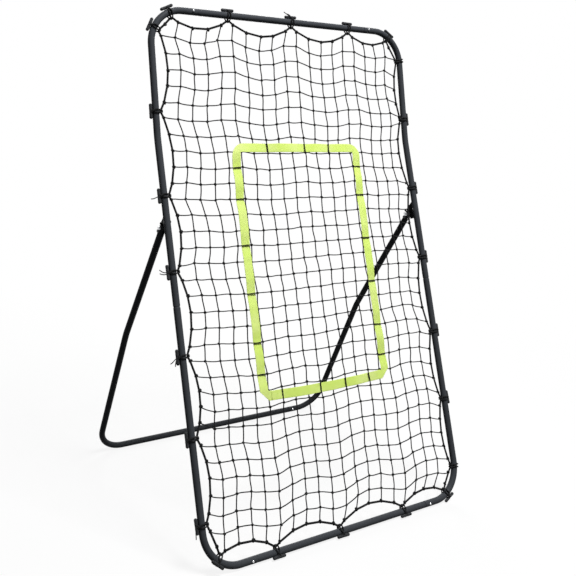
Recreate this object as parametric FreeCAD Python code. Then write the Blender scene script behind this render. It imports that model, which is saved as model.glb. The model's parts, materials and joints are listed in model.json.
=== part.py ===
import FreeCAD, Part
import math
import os
from FreeCAD import Placement, Rotation, Vector

# A pitch back rebounder: a tall tube frame that leans back on a folding rear leg, with a knotted
# net held in it by elastic loops and toggles, and a strike zone of coloured webbing.
# Everything is first modelled with the frame standing upright: X across, Y rearward, Z up along
# the frame from the bottom tube's centreline. At the end it all leans back until the rear bar
# rests on the floor as well. Sizes are in millimetres and angles in degrees.

os.makedirs("parts", exist_ok=True)

# Steel tube, the same for the frame and the rear leg
TUBE_D = 22.0
TUBE_WALL = 1.5
TUBE_R = TUBE_D / 2
BORE_R = TUBE_R - TUBE_WALL

# Frame, by its centrelines
FRAME_W = 1040.0
FRAME_H = 1700.0
CORNER_BEND_R = 115.0
TOP_BEND_HEIGHT = 1295.0
TOP_BEND_ANGLE = 5.8
TOP_BEND_R = 300.0

# Slip joints: the end of one tube is drawn down and slides into the next
CROSSBAR_HALF = 350.0
SIDE_JOINT_HEIGHT = 775.0
SPIGOT_L = 45.0
SPIGOT_TAPER = 5.0
SPIGOT_CLEARANCE = 0.1

# Sprung buttons that lock the slip joints
BUTTON_D = 7.0
BUTTON_INSET = 18.0
BUTTON_PROUD = 3.5
BUTTON_TRAVEL = 4.6
BUTTON_CLEARANCE = 0.08
BUTTON_FLANGE_D = 10.0
BUTTON_FLANGE_T = 1.2
SPRING_STRIP_W = 6.0
SPRING_STRIP_T = 0.6
SPRING_STRIP_L = 26.0

# Rear leg: two side legs and the floor bar between them
LEG_INSET = 3.0
PIVOT_HEIGHT = 1020.0
PIVOT_BACK = 38.0
LEG_UPPER_L = 483.0
LEG_LOWER_L = 565.0
LEG_OPEN_ANGLE = 49.2
LEG_KNEE_ANGLE = 7.4
LEG_KNEE_R = 250.0
LEG_CORNER_R = 100.0
LEG_END_L = 12.0
LEG_FOLD_ANGLE = 45.0
REAR_JOINT_X = 370.0

# Toothed angle plate behind each side tube
PLATE_T = 4.0
PLATE_BOTTOM = 1000.0
PLATE_TOP = 1063.0
TOOTH_R = 21.0
NOTCH_STEP = 37.6
NOTCH_COUNT = 4
LAST_TOOTH_ANGLE = 17.0
TONGUE_L = 24.0
TONGUE_DEPTH = 5.0
TONGUE_CLEARANCE = 0.2
RIVET_D = 5.0
RIVET_HEAD_D = 10.0
RIVET_HEAD_H = 2.6

# Pivot bolt through the leg's end and the angle plate
BOLT_D = 6.0
BOLT_HEX = 10.0
BOLT_HEAD_H = 4.0
NUT_H = 5.0
WASHER_D = 12.0
WASHER_T = 1.2
BOLT_END = 2.0
PIVOT_CLEARANCE = 0.05
FIT_CLEARANCE = 0.1

# Lock pin and its forked plunger, which a spring holds against the plate's notches
PIN_D = 6.0
PIN_R_FROM_PIVOT = 13.5
PIN_TRAVEL = 11.0
PIN_HEAD_D = 11.0
PIN_HEAD_H = 4.0
PIN_REACH = 2.5
NOTCH_CLEARANCE = 0.3
CAM_CLEARANCE = 0.5
SLIDE_CLEARANCE = 0.3
PLATE_SLOT_CLEARANCE = 0.4
FORK_GAP = 0.8
FORK_T = 3.4
FORK_W = 10.0
PLUNGER_HEAD_START = 30.0
PLUNGER_HEAD_L = 7.0
LOCK_SPRING_WIRE = 1.2
LOCK_SPRING_D = 13.0
LOCK_SPRING_L = 38.0
LOCK_SPRING_TURNS = 8
STOP_RIVET_D = 4.0
STOP_RIVET_HEAD_D = 8.0
STOP_RIVET_HEAD_H = 2.0

# Net, its border rope and the webbing strike zone
NET_T = 2.0
NET_CORD_W = 3.0
NET_COLUMNS = 13
NET_ROWS_LOWER = 16
NET_ROWS_UPPER = 5
NET_SIDE_GAP = 38.0
NET_BOTTOM_GAP = 50.0
NET_TOP_GAP = 60.0
NET_BORDER_W = 2.5
NET_LEAST_GAP = 150.0
ROPE_D = 5.0
ROPE_GAP = 6.0
ROPE_HOLD_L = 19.0
ROPE_HOLD_R = 7.0
SCALLOP_TOP = 0.25
SCALLOP_BOTTOM = 0.22
SCALLOP_LEFT = 0.17
SCALLOP_RIGHT = 0.15
SCALLOP_CORNER = 0.05
SCALLOP_CORNER_RUN = 180.0
SCALLOP_BEND = 0.8
RIBBON_W = 32.0
RIBBON_T = 1.6
RIBBON_LEFT = -262.0
RIBBON_RIGHT = 280.0
RIBBON_BOTTOM = 450.0
RIBBON_TOP = 1281.0
RIBBON_CORNER_R = 46.0
RIBBON_MITRE = 32.0

# Toggles and elastic loops. Places run along the tubes: across from the middle on the crossbars
# and up from the bottom tube's centreline on the sides. Corner ones are angles round the bends,
# measured from the crossbar's end of each bend.
TOGGLE_L = 48.0
TOGGLE_D = 10.5
TOGGLE_OUT = 17.0
LOOP_CORD = 4.0
LOOP_PITCH = 11.0
LOOP_CLEARANCE = 0.3
BOTTOM_TOGGLE_SWING = 52.0
LOW_CORNER_TOGGLE_SWING = 20.0
HIDDEN_TOGGLE_SWING = 60.0
TOP_TOGGLES = (-234.0, 22.0, 275.0)
BOTTOM_TOGGLES = (-275.0, -24.0, 250.0)
LEFT_TOGGLES = (138.0, 384.0, 625.0, 878.0, 1112.0, 1376.0)
RIGHT_TOGGLES = (338.0, 581.0, 853.0, 1112.0, 1374.0)
TOP_LEFT_TOGGLES = (24.0, 62.0)
TOP_RIGHT_TOGGLES = (33.0, 85.0)
BOTTOM_LEFT_TOGGLES = (42.0,)
BOTTOM_RIGHT_TOGGLES = (28.0, 82.0)

# Sizes that follow from the ones above
SIDE_X = FRAME_W / 2
LEG_X = SIDE_X - LEG_INSET
SPIGOT_R = BORE_R - SPIGOT_CLEARANCE
SPIGOT_BORE_R = SPIGOT_R - TUBE_WALL
BUTTON_R = BUTTON_D / 2
BUTTON_HOLE_R = BUTTON_R + BUTTON_CLEARANCE
BOLT_R = BOLT_D / 2
BOLT_HOLE_R = BOLT_R + PIVOT_CLEARANCE
RIVET_R = RIVET_D / 2
PIN_R = PIN_D / 2
CAM_R = PIN_R_FROM_PIVOT - PIN_R - CAM_CLEARANCE
NOTCH_HALF_W = PIN_R + NOTCH_CLEARANCE
PLUNGER_R = BORE_R - SLIDE_CLEARANCE
LOCK_SPRING_START = PLUNGER_HEAD_START + PLUNGER_HEAD_L
STOP_RIVET_FROM_PIVOT = LOCK_SPRING_START + LOCK_SPRING_L + STOP_RIVET_D / 2
ROPE_R = ROPE_D / 2
ROPE_IN = TUBE_R + ROPE_GAP
NET_HALF_W = SIDE_X - NET_SIDE_GAP
NET_TOP = FRAME_H - NET_TOP_GAP

ACROSS = Vector(1, 0, 0)
REARWARD = Vector(0, 1, 0)
FORWARD = Vector(0, -1, 0)
UP = Vector(0, 0, 1)


def frame_point(x, height):
    """The point at x and at a developed height on the frame's middle surface, which bends forward."""
    over = max(height - TOP_BEND_HEIGHT, 0.0)
    bend = math.radians(TOP_BEND_ANGLE)
    return Vector(x, -over * math.sin(bend), min(height, TOP_BEND_HEIGHT) + over * math.cos(bend))


def frame_up(height):
    """The direction up along the frame at a developed height."""
    bend = math.radians(TOP_BEND_ANGLE) if height > TOP_BEND_HEIGHT else 0.0
    return Vector(0, -math.sin(bend), math.cos(bend))


def leg_direction(angle):
    """The direction in a side plane that makes this angle with the frame's downward direction."""
    return Vector(0, math.sin(math.radians(angle)), -math.cos(math.radians(angle)))


UPPER_LEG = leg_direction(LEG_OPEN_ANGLE)
LOWER_LEG = leg_direction(LEG_OPEN_ANGLE - LEG_KNEE_ANGLE)


def pivot_point(side):
    """The pivot on the left (-1) or right (1) side."""
    return Vector(side * LEG_X, PIVOT_BACK, PIVOT_HEIGHT)


def leg_point(side, distance):
    """A point on the upper leg's centreline, this far from the pivot."""
    return pivot_point(side) + UPPER_LEG * distance


def rounded_path(points, radii):
    """Straight runs through the points, with a tangent arc of the given radius at each inner one."""
    edges = []
    start = points[0]
    for index, radius in enumerate(radii):
        corner = points[index + 1]
        back = (points[index] - corner).normalize()
        ahead = (points[index + 2] - corner).normalize()
        half_angle = back.getAngle(ahead) / 2
        setback = radius / math.tan(half_angle)
        arc_start = corner + back * setback
        arc_end = corner + ahead * setback
        inward = (back + ahead).normalize()
        arc_middle = corner + inward * (radius / math.sin(half_angle) - radius)
        edges.append(Part.LineSegment(start, arc_start).toShape())
        edges.append(Part.Arc(arc_start, arc_middle, arc_end).toShape())
        start = arc_end
    edges.append(Part.LineSegment(start, points[-1]).toShape())
    return Part.Wire(edges)


def swept_round(path, radius):
    """A solid round bar of this radius along the path."""
    first = path.OrderedEdges[0]
    start = path.OrderedVertexes[0].Point
    direction = first.tangentAt(first.FirstParameter)
    if first.valueAt(first.FirstParameter).distanceToPoint(start) > 0.001:
        direction = first.tangentAt(first.LastParameter) * -1
    profile = Part.Wire([Part.makeCircle(radius, start, direction)])
    return path.makePipeShell([profile], True, False)


def bent_tube(points, radii):
    """A hollow tube along straight runs and bends."""
    path = rounded_path(points, radii)
    return swept_round(path, TUBE_R).cut(swept_round(path, BORE_R))


def straight_tube(start, end):
    """A straight hollow tube."""
    axis = end - start
    outer = Part.makeCylinder(TUBE_R, axis.Length, start, axis)
    return outer.cut(Part.makeCylinder(BORE_R, axis.Length, start, axis))


def spigot(start, direction):
    """The drawn-down end of a tube, from the end of its full size, ready to slide into the next tube."""
    taper = Part.makeCone(TUBE_R, SPIGOT_R, SPIGOT_TAPER, start, direction)
    reduced = Part.makeCylinder(SPIGOT_R, SPIGOT_L, start + direction * SPIGOT_TAPER, direction)
    bore = Part.makeCylinder(SPIGOT_BORE_R, SPIGOT_TAPER + SPIGOT_L, start, direction)
    return taper.fuse(reduced).cut(bore)


def hexagon_prism(across_flats, height, base, direction):
    """A hexagonal prism, such as a bolt's head or a nut, standing on its base point."""
    corner_r = across_flats / math.sqrt(3)
    corners = []
    for index in range(7):
        angle = math.radians(60 * index)
        corners.append(Vector(corner_r * math.cos(angle), corner_r * math.sin(angle), 0))
    prism = Part.Face(Part.makePolygon(corners)).extrude(UP * height)
    prism.Placement = Placement(base, Rotation(UP, direction))
    return prism


def dome(diameter, height, base, direction):
    """A low round rivet head: the part of a ball that stands above its base."""
    ball_r = (diameter ** 2 / 4 + height ** 2) / (2 * height)
    ball = Part.makeSphere(ball_r, base + direction * (height - ball_r))
    keep = Part.makeCylinder(diameter, height, base, direction)
    return ball.common(keep)


# Frame tubes


def button_hole(point, direction):
    """The hole through one side of a slip joint that the button stands out of."""
    return Part.makeCylinder(BUTTON_HOLE_R, TUBE_R + 1, point, direction)


def make_crossbar(height):
    """The straight tube across the top or bottom, drawn down at both ends."""
    middle = frame_point(0, height)
    full_half = CROSSBAR_HALF - SPIGOT_TAPER
    bar = straight_tube(middle - ACROSS * full_half, middle + ACROSS * full_half)
    for side in (-1, 1):
        bar = bar.fuse(spigot(middle + ACROSS * side * full_half, ACROSS * side))
    for side in (-1, 1):
        hole_middle = middle + ACROSS * side * (CROSSBAR_HALF + BUTTON_INSET)
        bar = bar.cut(button_hole(hole_middle, FORWARD))
    return bar


def make_upper_tube(side):
    """The top corner and the upper side tube, which bends forward and takes the angle plate."""
    points = [
        frame_point(side * CROSSBAR_HALF, FRAME_H),
        frame_point(side * SIDE_X, FRAME_H),
        frame_point(side * SIDE_X, TOP_BEND_HEIGHT),
        frame_point(side * SIDE_X, SIDE_JOINT_HEIGHT),
    ]
    tube = bent_tube(points, [CORNER_BEND_R, TOP_BEND_R])
    crossbar_button = frame_point(side * (CROSSBAR_HALF + BUTTON_INSET), FRAME_H)
    tube = tube.cut(button_hole(crossbar_button, FORWARD))
    side_button = frame_point(side * SIDE_X, SIDE_JOINT_HEIGHT + BUTTON_INSET)
    tube = tube.cut(button_hole(side_button, REARWARD))
    slot_w = PLATE_T + 2 * TONGUE_CLEARANCE
    slot_l = TONGUE_L + 2 * TONGUE_CLEARANCE
    slot = Part.makeBox(slot_w, TUBE_D, slot_l)
    slot.translate(Vector(side * LEG_X - slot_w / 2, 0, tongue_middle() - slot_l / 2))
    tube = tube.cut(slot)
    return tube.cut(bracket_rivet_shank(side, RIVET_R + FIT_CLEARANCE))


def make_lower_tube(side):
    """The bottom corner and the lower side tube, drawn down at its top."""
    full_top = SIDE_JOINT_HEIGHT - SPIGOT_TAPER
    points = [
        frame_point(side * CROSSBAR_HALF, 0),
        frame_point(side * SIDE_X, 0),
        frame_point(side * SIDE_X, full_top),
    ]
    tube = bent_tube(points, [CORNER_BEND_R])
    tube = tube.fuse(spigot(frame_point(side * SIDE_X, full_top), UP))
    crossbar_button = frame_point(side * (CROSSBAR_HALF + BUTTON_INSET), 0)
    tube = tube.cut(button_hole(crossbar_button, FORWARD))
    side_button = frame_point(side * SIDE_X, SIDE_JOINT_HEIGHT + BUTTON_INSET)
    return tube.cut(button_hole(side_button, REARWARD))


# Angle plates


def tongue_middle():
    """The height of the tongue's middle, where the rivet crosses the side tube."""
    return (PLATE_BOTTOM + PLATE_TOP) / 2


def bracket_rivet_shank(side, radius):
    """The rivet's shank, right through the side tube and the plate's tongue."""
    start = Vector(side * SIDE_X - TUBE_R, 0, tongue_middle())
    return Part.makeCylinder(radius, TUBE_D, start, ACROSS)


def make_bracket_rivet(side):
    """A round-headed rivet across the side tube."""
    left_end = Vector(side * SIDE_X - TUBE_R, 0, tongue_middle())
    right_end = left_end + ACROSS * TUBE_D
    rivet = bracket_rivet_shank(side, RIVET_R)
    rivet = rivet.fuse(dome(RIVET_HEAD_D, RIVET_HEAD_H, left_end, ACROSS * -1))
    return rivet.fuse(dome(RIVET_HEAD_D, RIVET_HEAD_H, right_end, ACROSS))


def polar(radius, angle):
    """A point round the pivot in a side plane: 0 points rearward and 90 up."""
    turn = math.radians(angle)
    return Vector(0, PIVOT_BACK + radius * math.cos(turn), PIVOT_HEIGHT + radius * math.sin(turn))


def plate_outline():
    """The plate's outline before its notches: a sector round the pivot, joined to the side tube."""
    rest = LEG_OPEN_ANGLE - 90
    half_notch = math.degrees(math.asin(NOTCH_HALF_W / PIN_R_FROM_PIVOT))
    sector_start = rest
    sector_end = rest + NOTCH_STEP * (NOTCH_COUNT - 1) + LAST_TOOTH_ANGLE
    cam_start = -180 + half_notch
    lower_edge = PIVOT_BACK - CAM_R
    weld_back = 0.8 * TUBE_R
    corners = [
        Vector(0, weld_back, PLATE_BOTTOM),
        Vector(0, lower_edge, PLATE_BOTTOM),
        polar(CAM_R, cam_start),
    ]
    cam = Part.Arc(polar(CAM_R, cam_start), polar(CAM_R, (cam_start + sector_start) / 2), polar(CAM_R, sector_start))
    rim_middle = polar(TOOTH_R, (sector_start + sector_end) / 2)
    rim = Part.Arc(polar(TOOTH_R, sector_start), rim_middle, polar(TOOTH_R, sector_end))
    edges = [
        Part.LineSegment(corners[0], corners[1]).toShape(),
        Part.LineSegment(corners[1], corners[2]).toShape(),
        cam.toShape(),
        Part.LineSegment(polar(CAM_R, sector_start), polar(TOOTH_R, sector_start)).toShape(),
        rim.toShape(),
        Part.LineSegment(polar(TOOTH_R, sector_end), Vector(0, weld_back, PLATE_TOP)).toShape(),
        Part.LineSegment(Vector(0, weld_back, PLATE_TOP), corners[0]).toShape(),
    ]
    return Part.Face(Part.Wire(edges))


def notch(angle):
    """A round-bottomed notch that runs out of the sector's rim at this angle round the pivot."""
    bottom = Part.makeCylinder(NOTCH_HALF_W, PLATE_T, polar(PIN_R_FROM_PIVOT, angle), ACROSS)
    mouth = Part.makeBox(PLATE_T, TOOTH_R, 2 * NOTCH_HALF_W)
    mouth.translate(Vector(0, PIN_R_FROM_PIVOT, -NOTCH_HALF_W))
    mouth.rotate(Vector(0, 0, 0), ACROSS, angle)
    mouth.translate(Vector(0, PIVOT_BACK, PIVOT_HEIGHT))
    return bottom.fuse(mouth)


def make_angle_plate(side):
    """The toothed steel plate on the back of a side tube, with a tongue riveted inside the tube."""
    plate = plate_outline().extrude(ACROSS * PLATE_T)
    rest = LEG_OPEN_ANGLE - 90
    for index in range(NOTCH_COUNT):
        plate = plate.cut(notch(rest + index * NOTCH_STEP))
    plate.translate(Vector(side * LEG_X - PLATE_T / 2, 0, 0))
    tube_l = PLATE_TOP - PLATE_BOTTOM + TUBE_D
    side_tube = Part.makeCylinder(TUBE_R, tube_l, Vector(side * SIDE_X, 0, PLATE_BOTTOM - TUBE_R), UP)
    plate = plate.cut(side_tube)
    tongue = Part.makeBox(PLATE_T, TUBE_R + TONGUE_DEPTH + 1, TONGUE_L)
    tongue.translate(Vector(side * LEG_X - PLATE_T / 2, -TONGUE_DEPTH, tongue_middle() - TONGUE_L / 2))
    plate = plate.fuse(tongue)
    plate = plate.cut(bracket_rivet_shank(side, RIVET_R + FIT_CLEARANCE))
    hole = Part.makeCylinder(BOLT_HOLE_R, PLATE_T, pivot_point(side) - ACROSS * PLATE_T / 2, ACROSS)
    return plate.cut(hole).removeSplitter()


# Rear leg


def leg_end_cuts(side):
    """What is cut from a leg's top end: the plate's slot, the pivot hole and the lock pin's slots."""
    slot_w = PLATE_T + 2 * PLATE_SLOT_CLEARANCE
    slot_l = LEG_END_L + TOOTH_R + PIN_D
    plate_slot = Part.makeBox(slot_w, TUBE_D + 2, slot_l)
    plate_slot.translate(Vector(-slot_w / 2, -TUBE_R - 1, -LEG_END_L))
    pin_w = 2 * (PIN_R + SLIDE_CLEARANCE)
    pin_slot = Part.makeBox(TUBE_D + 2, pin_w, PIN_TRAVEL)
    pin_slot.translate(Vector(-TUBE_R - 1, -pin_w / 2, PIN_R_FROM_PIVOT))
    cuts = [plate_slot, pin_slot]
    for distance in (PIN_R_FROM_PIVOT, PIN_R_FROM_PIVOT + PIN_TRAVEL):
        end = Vector(-TUBE_R - 1, 0, distance)
        cuts.append(Part.makeCylinder(pin_w / 2, TUBE_D + 2, end, ACROSS))
    for distance, radius in ((0, BOLT_HOLE_R), (STOP_RIVET_FROM_PIVOT, STOP_RIVET_D / 2 + FIT_CLEARANCE)):
        end = Vector(-TUBE_R - 1, 0, distance)
        cuts.append(Part.makeCylinder(radius, TUBE_D + 2, end, ACROSS))
    tool = cuts[0].multiFuse(cuts[1:])
    tool.Placement = leg_end_placement(side)
    return tool


def leg_end_placement(side):
    """Puts the pivot at the origin of the upper leg's own frame, whose Z runs down along the leg."""
    return Placement(pivot_point(side), Rotation(UP, UPPER_LEG))


def leg_corner(side):
    """Where the lower leg's centreline would meet the rear bar's."""
    return leg_point(side, LEG_UPPER_L) + LOWER_LEG * LEG_LOWER_L


def rear_bar_point(x):
    """A point on the rear bar's centreline."""
    corner = leg_corner(1)
    return Vector(x, corner.y, corner.z)


def make_left_leg():
    """The left leg with its knee, and the rear bar as far as the joint, drawn down at that end."""
    full_end = rear_bar_point(REAR_JOINT_X - SPIGOT_TAPER)
    points = [leg_point(-1, -LEG_END_L), leg_point(-1, LEG_UPPER_L), leg_corner(-1), full_end]
    leg = bent_tube(points, [LEG_KNEE_R, LEG_CORNER_R])
    leg = leg.fuse(spigot(full_end, ACROSS))
    leg = leg.cut(button_hole(rear_bar_point(REAR_JOINT_X + BUTTON_INSET), FORWARD))
    return leg.cut(leg_end_cuts(-1))


def make_right_leg():
    """The right leg with its knee, and the short end of the rear bar that takes the left one's."""
    points = [leg_point(1, -LEG_END_L), leg_point(1, LEG_UPPER_L), leg_corner(1), rear_bar_point(REAR_JOINT_X)]
    leg = bent_tube(points, [LEG_KNEE_R, LEG_CORNER_R])
    leg = leg.cut(button_hole(rear_bar_point(REAR_JOINT_X + BUTTON_INSET), FORWARD))
    return leg.cut(leg_end_cuts(1))


# Pivot bolts


def washer_base(side, outer):
    """Where a washer sits on the leg: on the outside for the bolt's head and inside for the nut."""
    facing = side if outer else -side
    return pivot_point(side) + ACROSS * facing * TUBE_R, ACROSS * facing


def make_pivot_bolt(side):
    """The hexagon bolt that the leg turns on."""
    head_base, outward = washer_base(side, True)
    head_base = head_base + outward * WASHER_T
    nut_base, inward = washer_base(side, False)
    shank_end = nut_base + inward * (WASHER_T + NUT_H + BOLT_END)
    length = (shank_end - head_base).Length
    shank = Part.makeCylinder(BOLT_R, length, head_base, inward)
    return shank.fuse(hexagon_prism(BOLT_HEX, BOLT_HEAD_H, head_base, outward))


def make_pivot_nut(side):
    """The lock nut on the bolt's inner end."""
    base, inward = washer_base(side, False)
    base = base + inward * WASHER_T
    nut = hexagon_prism(BOLT_HEX, NUT_H, base, inward)
    return nut.cut(Part.makeCylinder(BOLT_R + FIT_CLEARANCE / 2, NUT_H, base, inward))


def make_pivot_washer(side, outer):
    """A washer between the leg and the bolt's head or nut."""
    base, outward = washer_base(side, outer)
    ring = Part.makeCylinder(WASHER_D / 2, WASHER_T, base, outward)
    return ring.cut(Part.makeCylinder(BOLT_R + FIT_CLEARANCE, WASHER_T, base, outward))


# Lock pins


def make_lock_pin(side):
    """The cross pin with a round head at each end, by which it is pulled out of a notch."""
    half = TUBE_R + PIN_REACH
    pin = Part.makeCylinder(PIN_R, 2 * half, Vector(-half, 0, 0), ACROSS)
    for facing in (-1, 1):
        base = ACROSS * facing * (TUBE_R + SLIDE_CLEARANCE)
        head = Part.makeCylinder(PIN_HEAD_D / 2, PIN_HEAD_H, base, ACROSS * facing)
        rim = [edge for edge in head.Edges if abs(edge.BoundBox.Center.x) > abs(base.x) + PIN_HEAD_H / 2]
        pin = pin.fuse(head.makeFillet(PIN_HEAD_H / 4, rim[:1]))
    pin.Placement = Placement(leg_point(side, PIN_R_FROM_PIVOT), Rotation(UP, UPPER_LEG))
    return pin


def make_lock_plunger(side):
    """The plunger inside the leg: two fork arms that hold the pin each side of the plate, and a head."""
    arm_start = PIN_R_FROM_PIVOT - FORK_W / 2
    arm_x = PLATE_T / 2 + FORK_GAP
    arms = []
    for facing in (-1, 1):
        arm = Part.makeBox(FORK_T, FORK_W, PLUNGER_HEAD_START - arm_start)
        low_x = arm_x if facing > 0 else -arm_x - FORK_T
        arm.translate(Vector(low_x, -FORK_W / 2, arm_start))
        arms.append(arm)
    head = Part.makeCylinder(PLUNGER_R, PLUNGER_HEAD_L, Vector(0, 0, PLUNGER_HEAD_START), UP)
    plunger = head.multiFuse(arms)
    pin_start = Vector(-BORE_R, 0, PIN_R_FROM_PIVOT)
    plunger = plunger.cut(Part.makeCylinder(PIN_R + FIT_CLEARANCE, 2 * BORE_R, pin_start, ACROSS))
    plunger.Placement = leg_end_placement(side)
    return plunger


def make_lock_spring(side):
    """The coil spring between the plunger's head and the stop rivet."""
    coil_r = (LOCK_SPRING_D - LOCK_SPRING_WIRE) / 2
    rise = LOCK_SPRING_L - LOCK_SPRING_WIRE
    pitch = rise / LOCK_SPRING_TURNS
    edges = []
    for quarter in range(4 * LOCK_SPRING_TURNS):
        turns = [(quarter + part) / 4 for part in (0, 0.5, 1)]
        points = []
        for turn in turns:
            angle = 2 * math.pi * turn
            points.append(Vector(coil_r * math.cos(angle), coil_r * math.sin(angle), pitch * turn))
        edges.append(Part.Arc(points[0], points[1], points[2]).toShape())
    path = Part.Wire(edges)
    spring = swept_round(path, LOCK_SPRING_WIRE / 2)
    lift = Placement(Vector(0, 0, LOCK_SPRING_START + LOCK_SPRING_WIRE / 2), Rotation())
    spring.Placement = leg_end_placement(side).multiply(lift)
    return spring


def make_stop_rivet(side):
    """The rivet across the leg that the lock spring pushes against."""
    rivet = Part.makeCylinder(STOP_RIVET_D / 2, TUBE_D, Vector(-TUBE_R, 0, 0), ACROSS)
    for facing in (-1, 1):
        base = ACROSS * facing * TUBE_R
        rivet = rivet.fuse(dome(STOP_RIVET_HEAD_D, STOP_RIVET_HEAD_H, base, ACROSS * facing))
    rivet.Placement = Placement(leg_point(side, STOP_RIVET_FROM_PIVOT), Rotation(UP, UPPER_LEG))
    return rivet


# Snap buttons: (name, point on the tube's centreline, direction out, direction along the tube)

BUTTON_X = CROSSBAR_HALF + BUTTON_INSET
BUTTON_Z = SIDE_JOINT_HEIGHT + BUTTON_INSET
BUTTONS = (
    ("top_left_button", frame_point(-BUTTON_X, FRAME_H), FORWARD, ACROSS),
    ("top_right_button", frame_point(BUTTON_X, FRAME_H), FORWARD, ACROSS * -1),
    ("bottom_left_button", frame_point(-BUTTON_X, 0), FORWARD, ACROSS),
    ("bottom_right_button", frame_point(BUTTON_X, 0), FORWARD, ACROSS * -1),
    ("left_side_button", frame_point(-SIDE_X, BUTTON_Z), REARWARD, UP * -1),
    ("right_side_button", frame_point(SIDE_X, BUTTON_Z), REARWARD, UP * -1),
    ("rear_bar_button", rear_bar_point(REAR_JOINT_X + BUTTON_INSET), FORWARD, ACROSS * -1),
)


def flange_depth():
    """How far from the tube's centreline the button's flange bears on the spigot's bore."""
    return math.sqrt(SPIGOT_BORE_R ** 2 - BUTTON_FLANGE_D ** 2 / 4) - SLIDE_CLEARANCE


def make_button(point, outward):
    """A round-topped button with a flange that keeps it inside the spigot."""
    flange_top = flange_depth()
    flange = Part.makeCylinder(BUTTON_FLANGE_D / 2, BUTTON_FLANGE_T, Vector(0, 0, flange_top - BUTTON_FLANGE_T), UP)
    length = TUBE_R + BUTTON_PROUD - flange_top
    post = Part.makeCylinder(BUTTON_R, length, Vector(0, 0, flange_top), UP)
    rim = [edge for edge in post.Edges if edge.BoundBox.ZMin > flange_top + length / 2]
    button = flange.fuse(post.makeFillet(BUTTON_R / 2, rim[:1]))
    button.Placement = Placement(point, Rotation(UP, outward))
    return button


def make_button_spring(point, outward, along):
    """The hairpin spring strip under a button: one arm below its flange, the other on the far wall."""
    under = flange_depth() - BUTTON_FLANGE_T
    far = SLIDE_CLEARANCE - math.sqrt(SPIGOT_BORE_R ** 2 - SPRING_STRIP_W ** 2 / 4)
    middle = (under + far) / 2
    reach = BUTTON_FLANGE_D / 2
    outline = [
        (-reach, under),
        (reach, under),
        (SPRING_STRIP_L, middle),
        (reach, far),
        (-reach, far),
        (-reach, far + SPRING_STRIP_T),
        (reach, far + SPRING_STRIP_T),
        (SPRING_STRIP_L - 3 * SPRING_STRIP_T, middle),
        (reach, under - SPRING_STRIP_T),
        (-reach, under - SPRING_STRIP_T),
        (-reach, under),
    ]
    sideways = along.cross(outward)
    corner = point - sideways * SPRING_STRIP_W / 2
    corners = [corner + along * run + outward * rise for run, rise in outline]
    return Part.Face(Part.makePolygon(corners)).extrude(sideways * SPRING_STRIP_W)


# Toggles: each place is (point on the tube's centreline, direction out of the net, direction forward)


def crossbar_place(x, height):
    """A toggle's place on the top or bottom crossbar."""
    up = frame_up(height)
    outward = up if height > 0 else up * -1
    return frame_point(x, height), outward, up.cross(ACROSS) * -1


def side_place(side, height):
    """A toggle's place on a side tube."""
    return frame_point(side * SIDE_X, height), ACROSS * side, frame_up(height).cross(ACROSS) * -1


def corner_place(side, height, angle):
    """A toggle's place round a corner bend, by its angle from the bend's crossbar end."""
    up = frame_up(height)
    vertical = 1 if height > 0 else -1
    bend_centre = frame_point(side * (SIDE_X - CORNER_BEND_R), height - vertical * CORNER_BEND_R)
    turn = math.radians(angle)
    outward = ACROSS * side * math.sin(turn) + up * vertical * math.cos(turn)
    return bend_centre + outward * CORNER_BEND_R, outward, up.cross(ACROSS) * -1


PLACES = {
    "top": [crossbar_place(x, FRAME_H) for x in TOP_TOGGLES],
    "bottom": [crossbar_place(x, 0) for x in BOTTOM_TOGGLES],
    "left": [side_place(-1, height) for height in LEFT_TOGGLES],
    "right": [side_place(1, height) for height in RIGHT_TOGGLES],
    "corner": [corner_place(-1, FRAME_H, angle) for angle in TOP_LEFT_TOGGLES]
    + [corner_place(1, FRAME_H, angle) for angle in TOP_RIGHT_TOGGLES]
    + [corner_place(-1, 0, angle) for angle in BOTTOM_LEFT_TOGGLES]
    + [corner_place(1, 0, angle) for angle in BOTTOM_RIGHT_TOGGLES],
}


# How far each group's toggles sit round the tube, towards the front (+) or behind it (-), out of the
# net's plane, in the order of their places
SWINGS = {
    "top": [0.0] * len(TOP_TOGGLES),
    "bottom": [BOTTOM_TOGGLE_SWING] * len(BOTTOM_TOGGLES),
    "left": [0.0] * len(LEFT_TOGGLES),
    "right": [0.0] * len(RIGHT_TOGGLES),
    "corner": [0.0, 0.0, 0.0, -HIDDEN_TOGGLE_SWING, BOTTOM_TOGGLE_SWING, LOW_CORNER_TOGGLE_SWING, -HIDDEN_TOGGLE_SWING],
}


def toggle_centre(angle):
    """The toggle's centre in its own frame: X along the tube, Y out of the net, Z forward."""
    turn = math.radians(angle)
    return Vector(0, TOGGLE_OUT * math.cos(turn), TOGGLE_OUT * math.sin(turn))


def place_solids(solids, place):
    """Copies solids from a toggle's own frame to its place on the tube."""
    point, outward, forward = place
    along = outward.cross(forward)
    placement = Placement(point, Rotation(along, outward, forward, "XYZ"))
    copies = []
    for solid in solids:
        copy = solid.copy()
        copy.Placement = placement
        copies.append(copy)
    return copies


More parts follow.
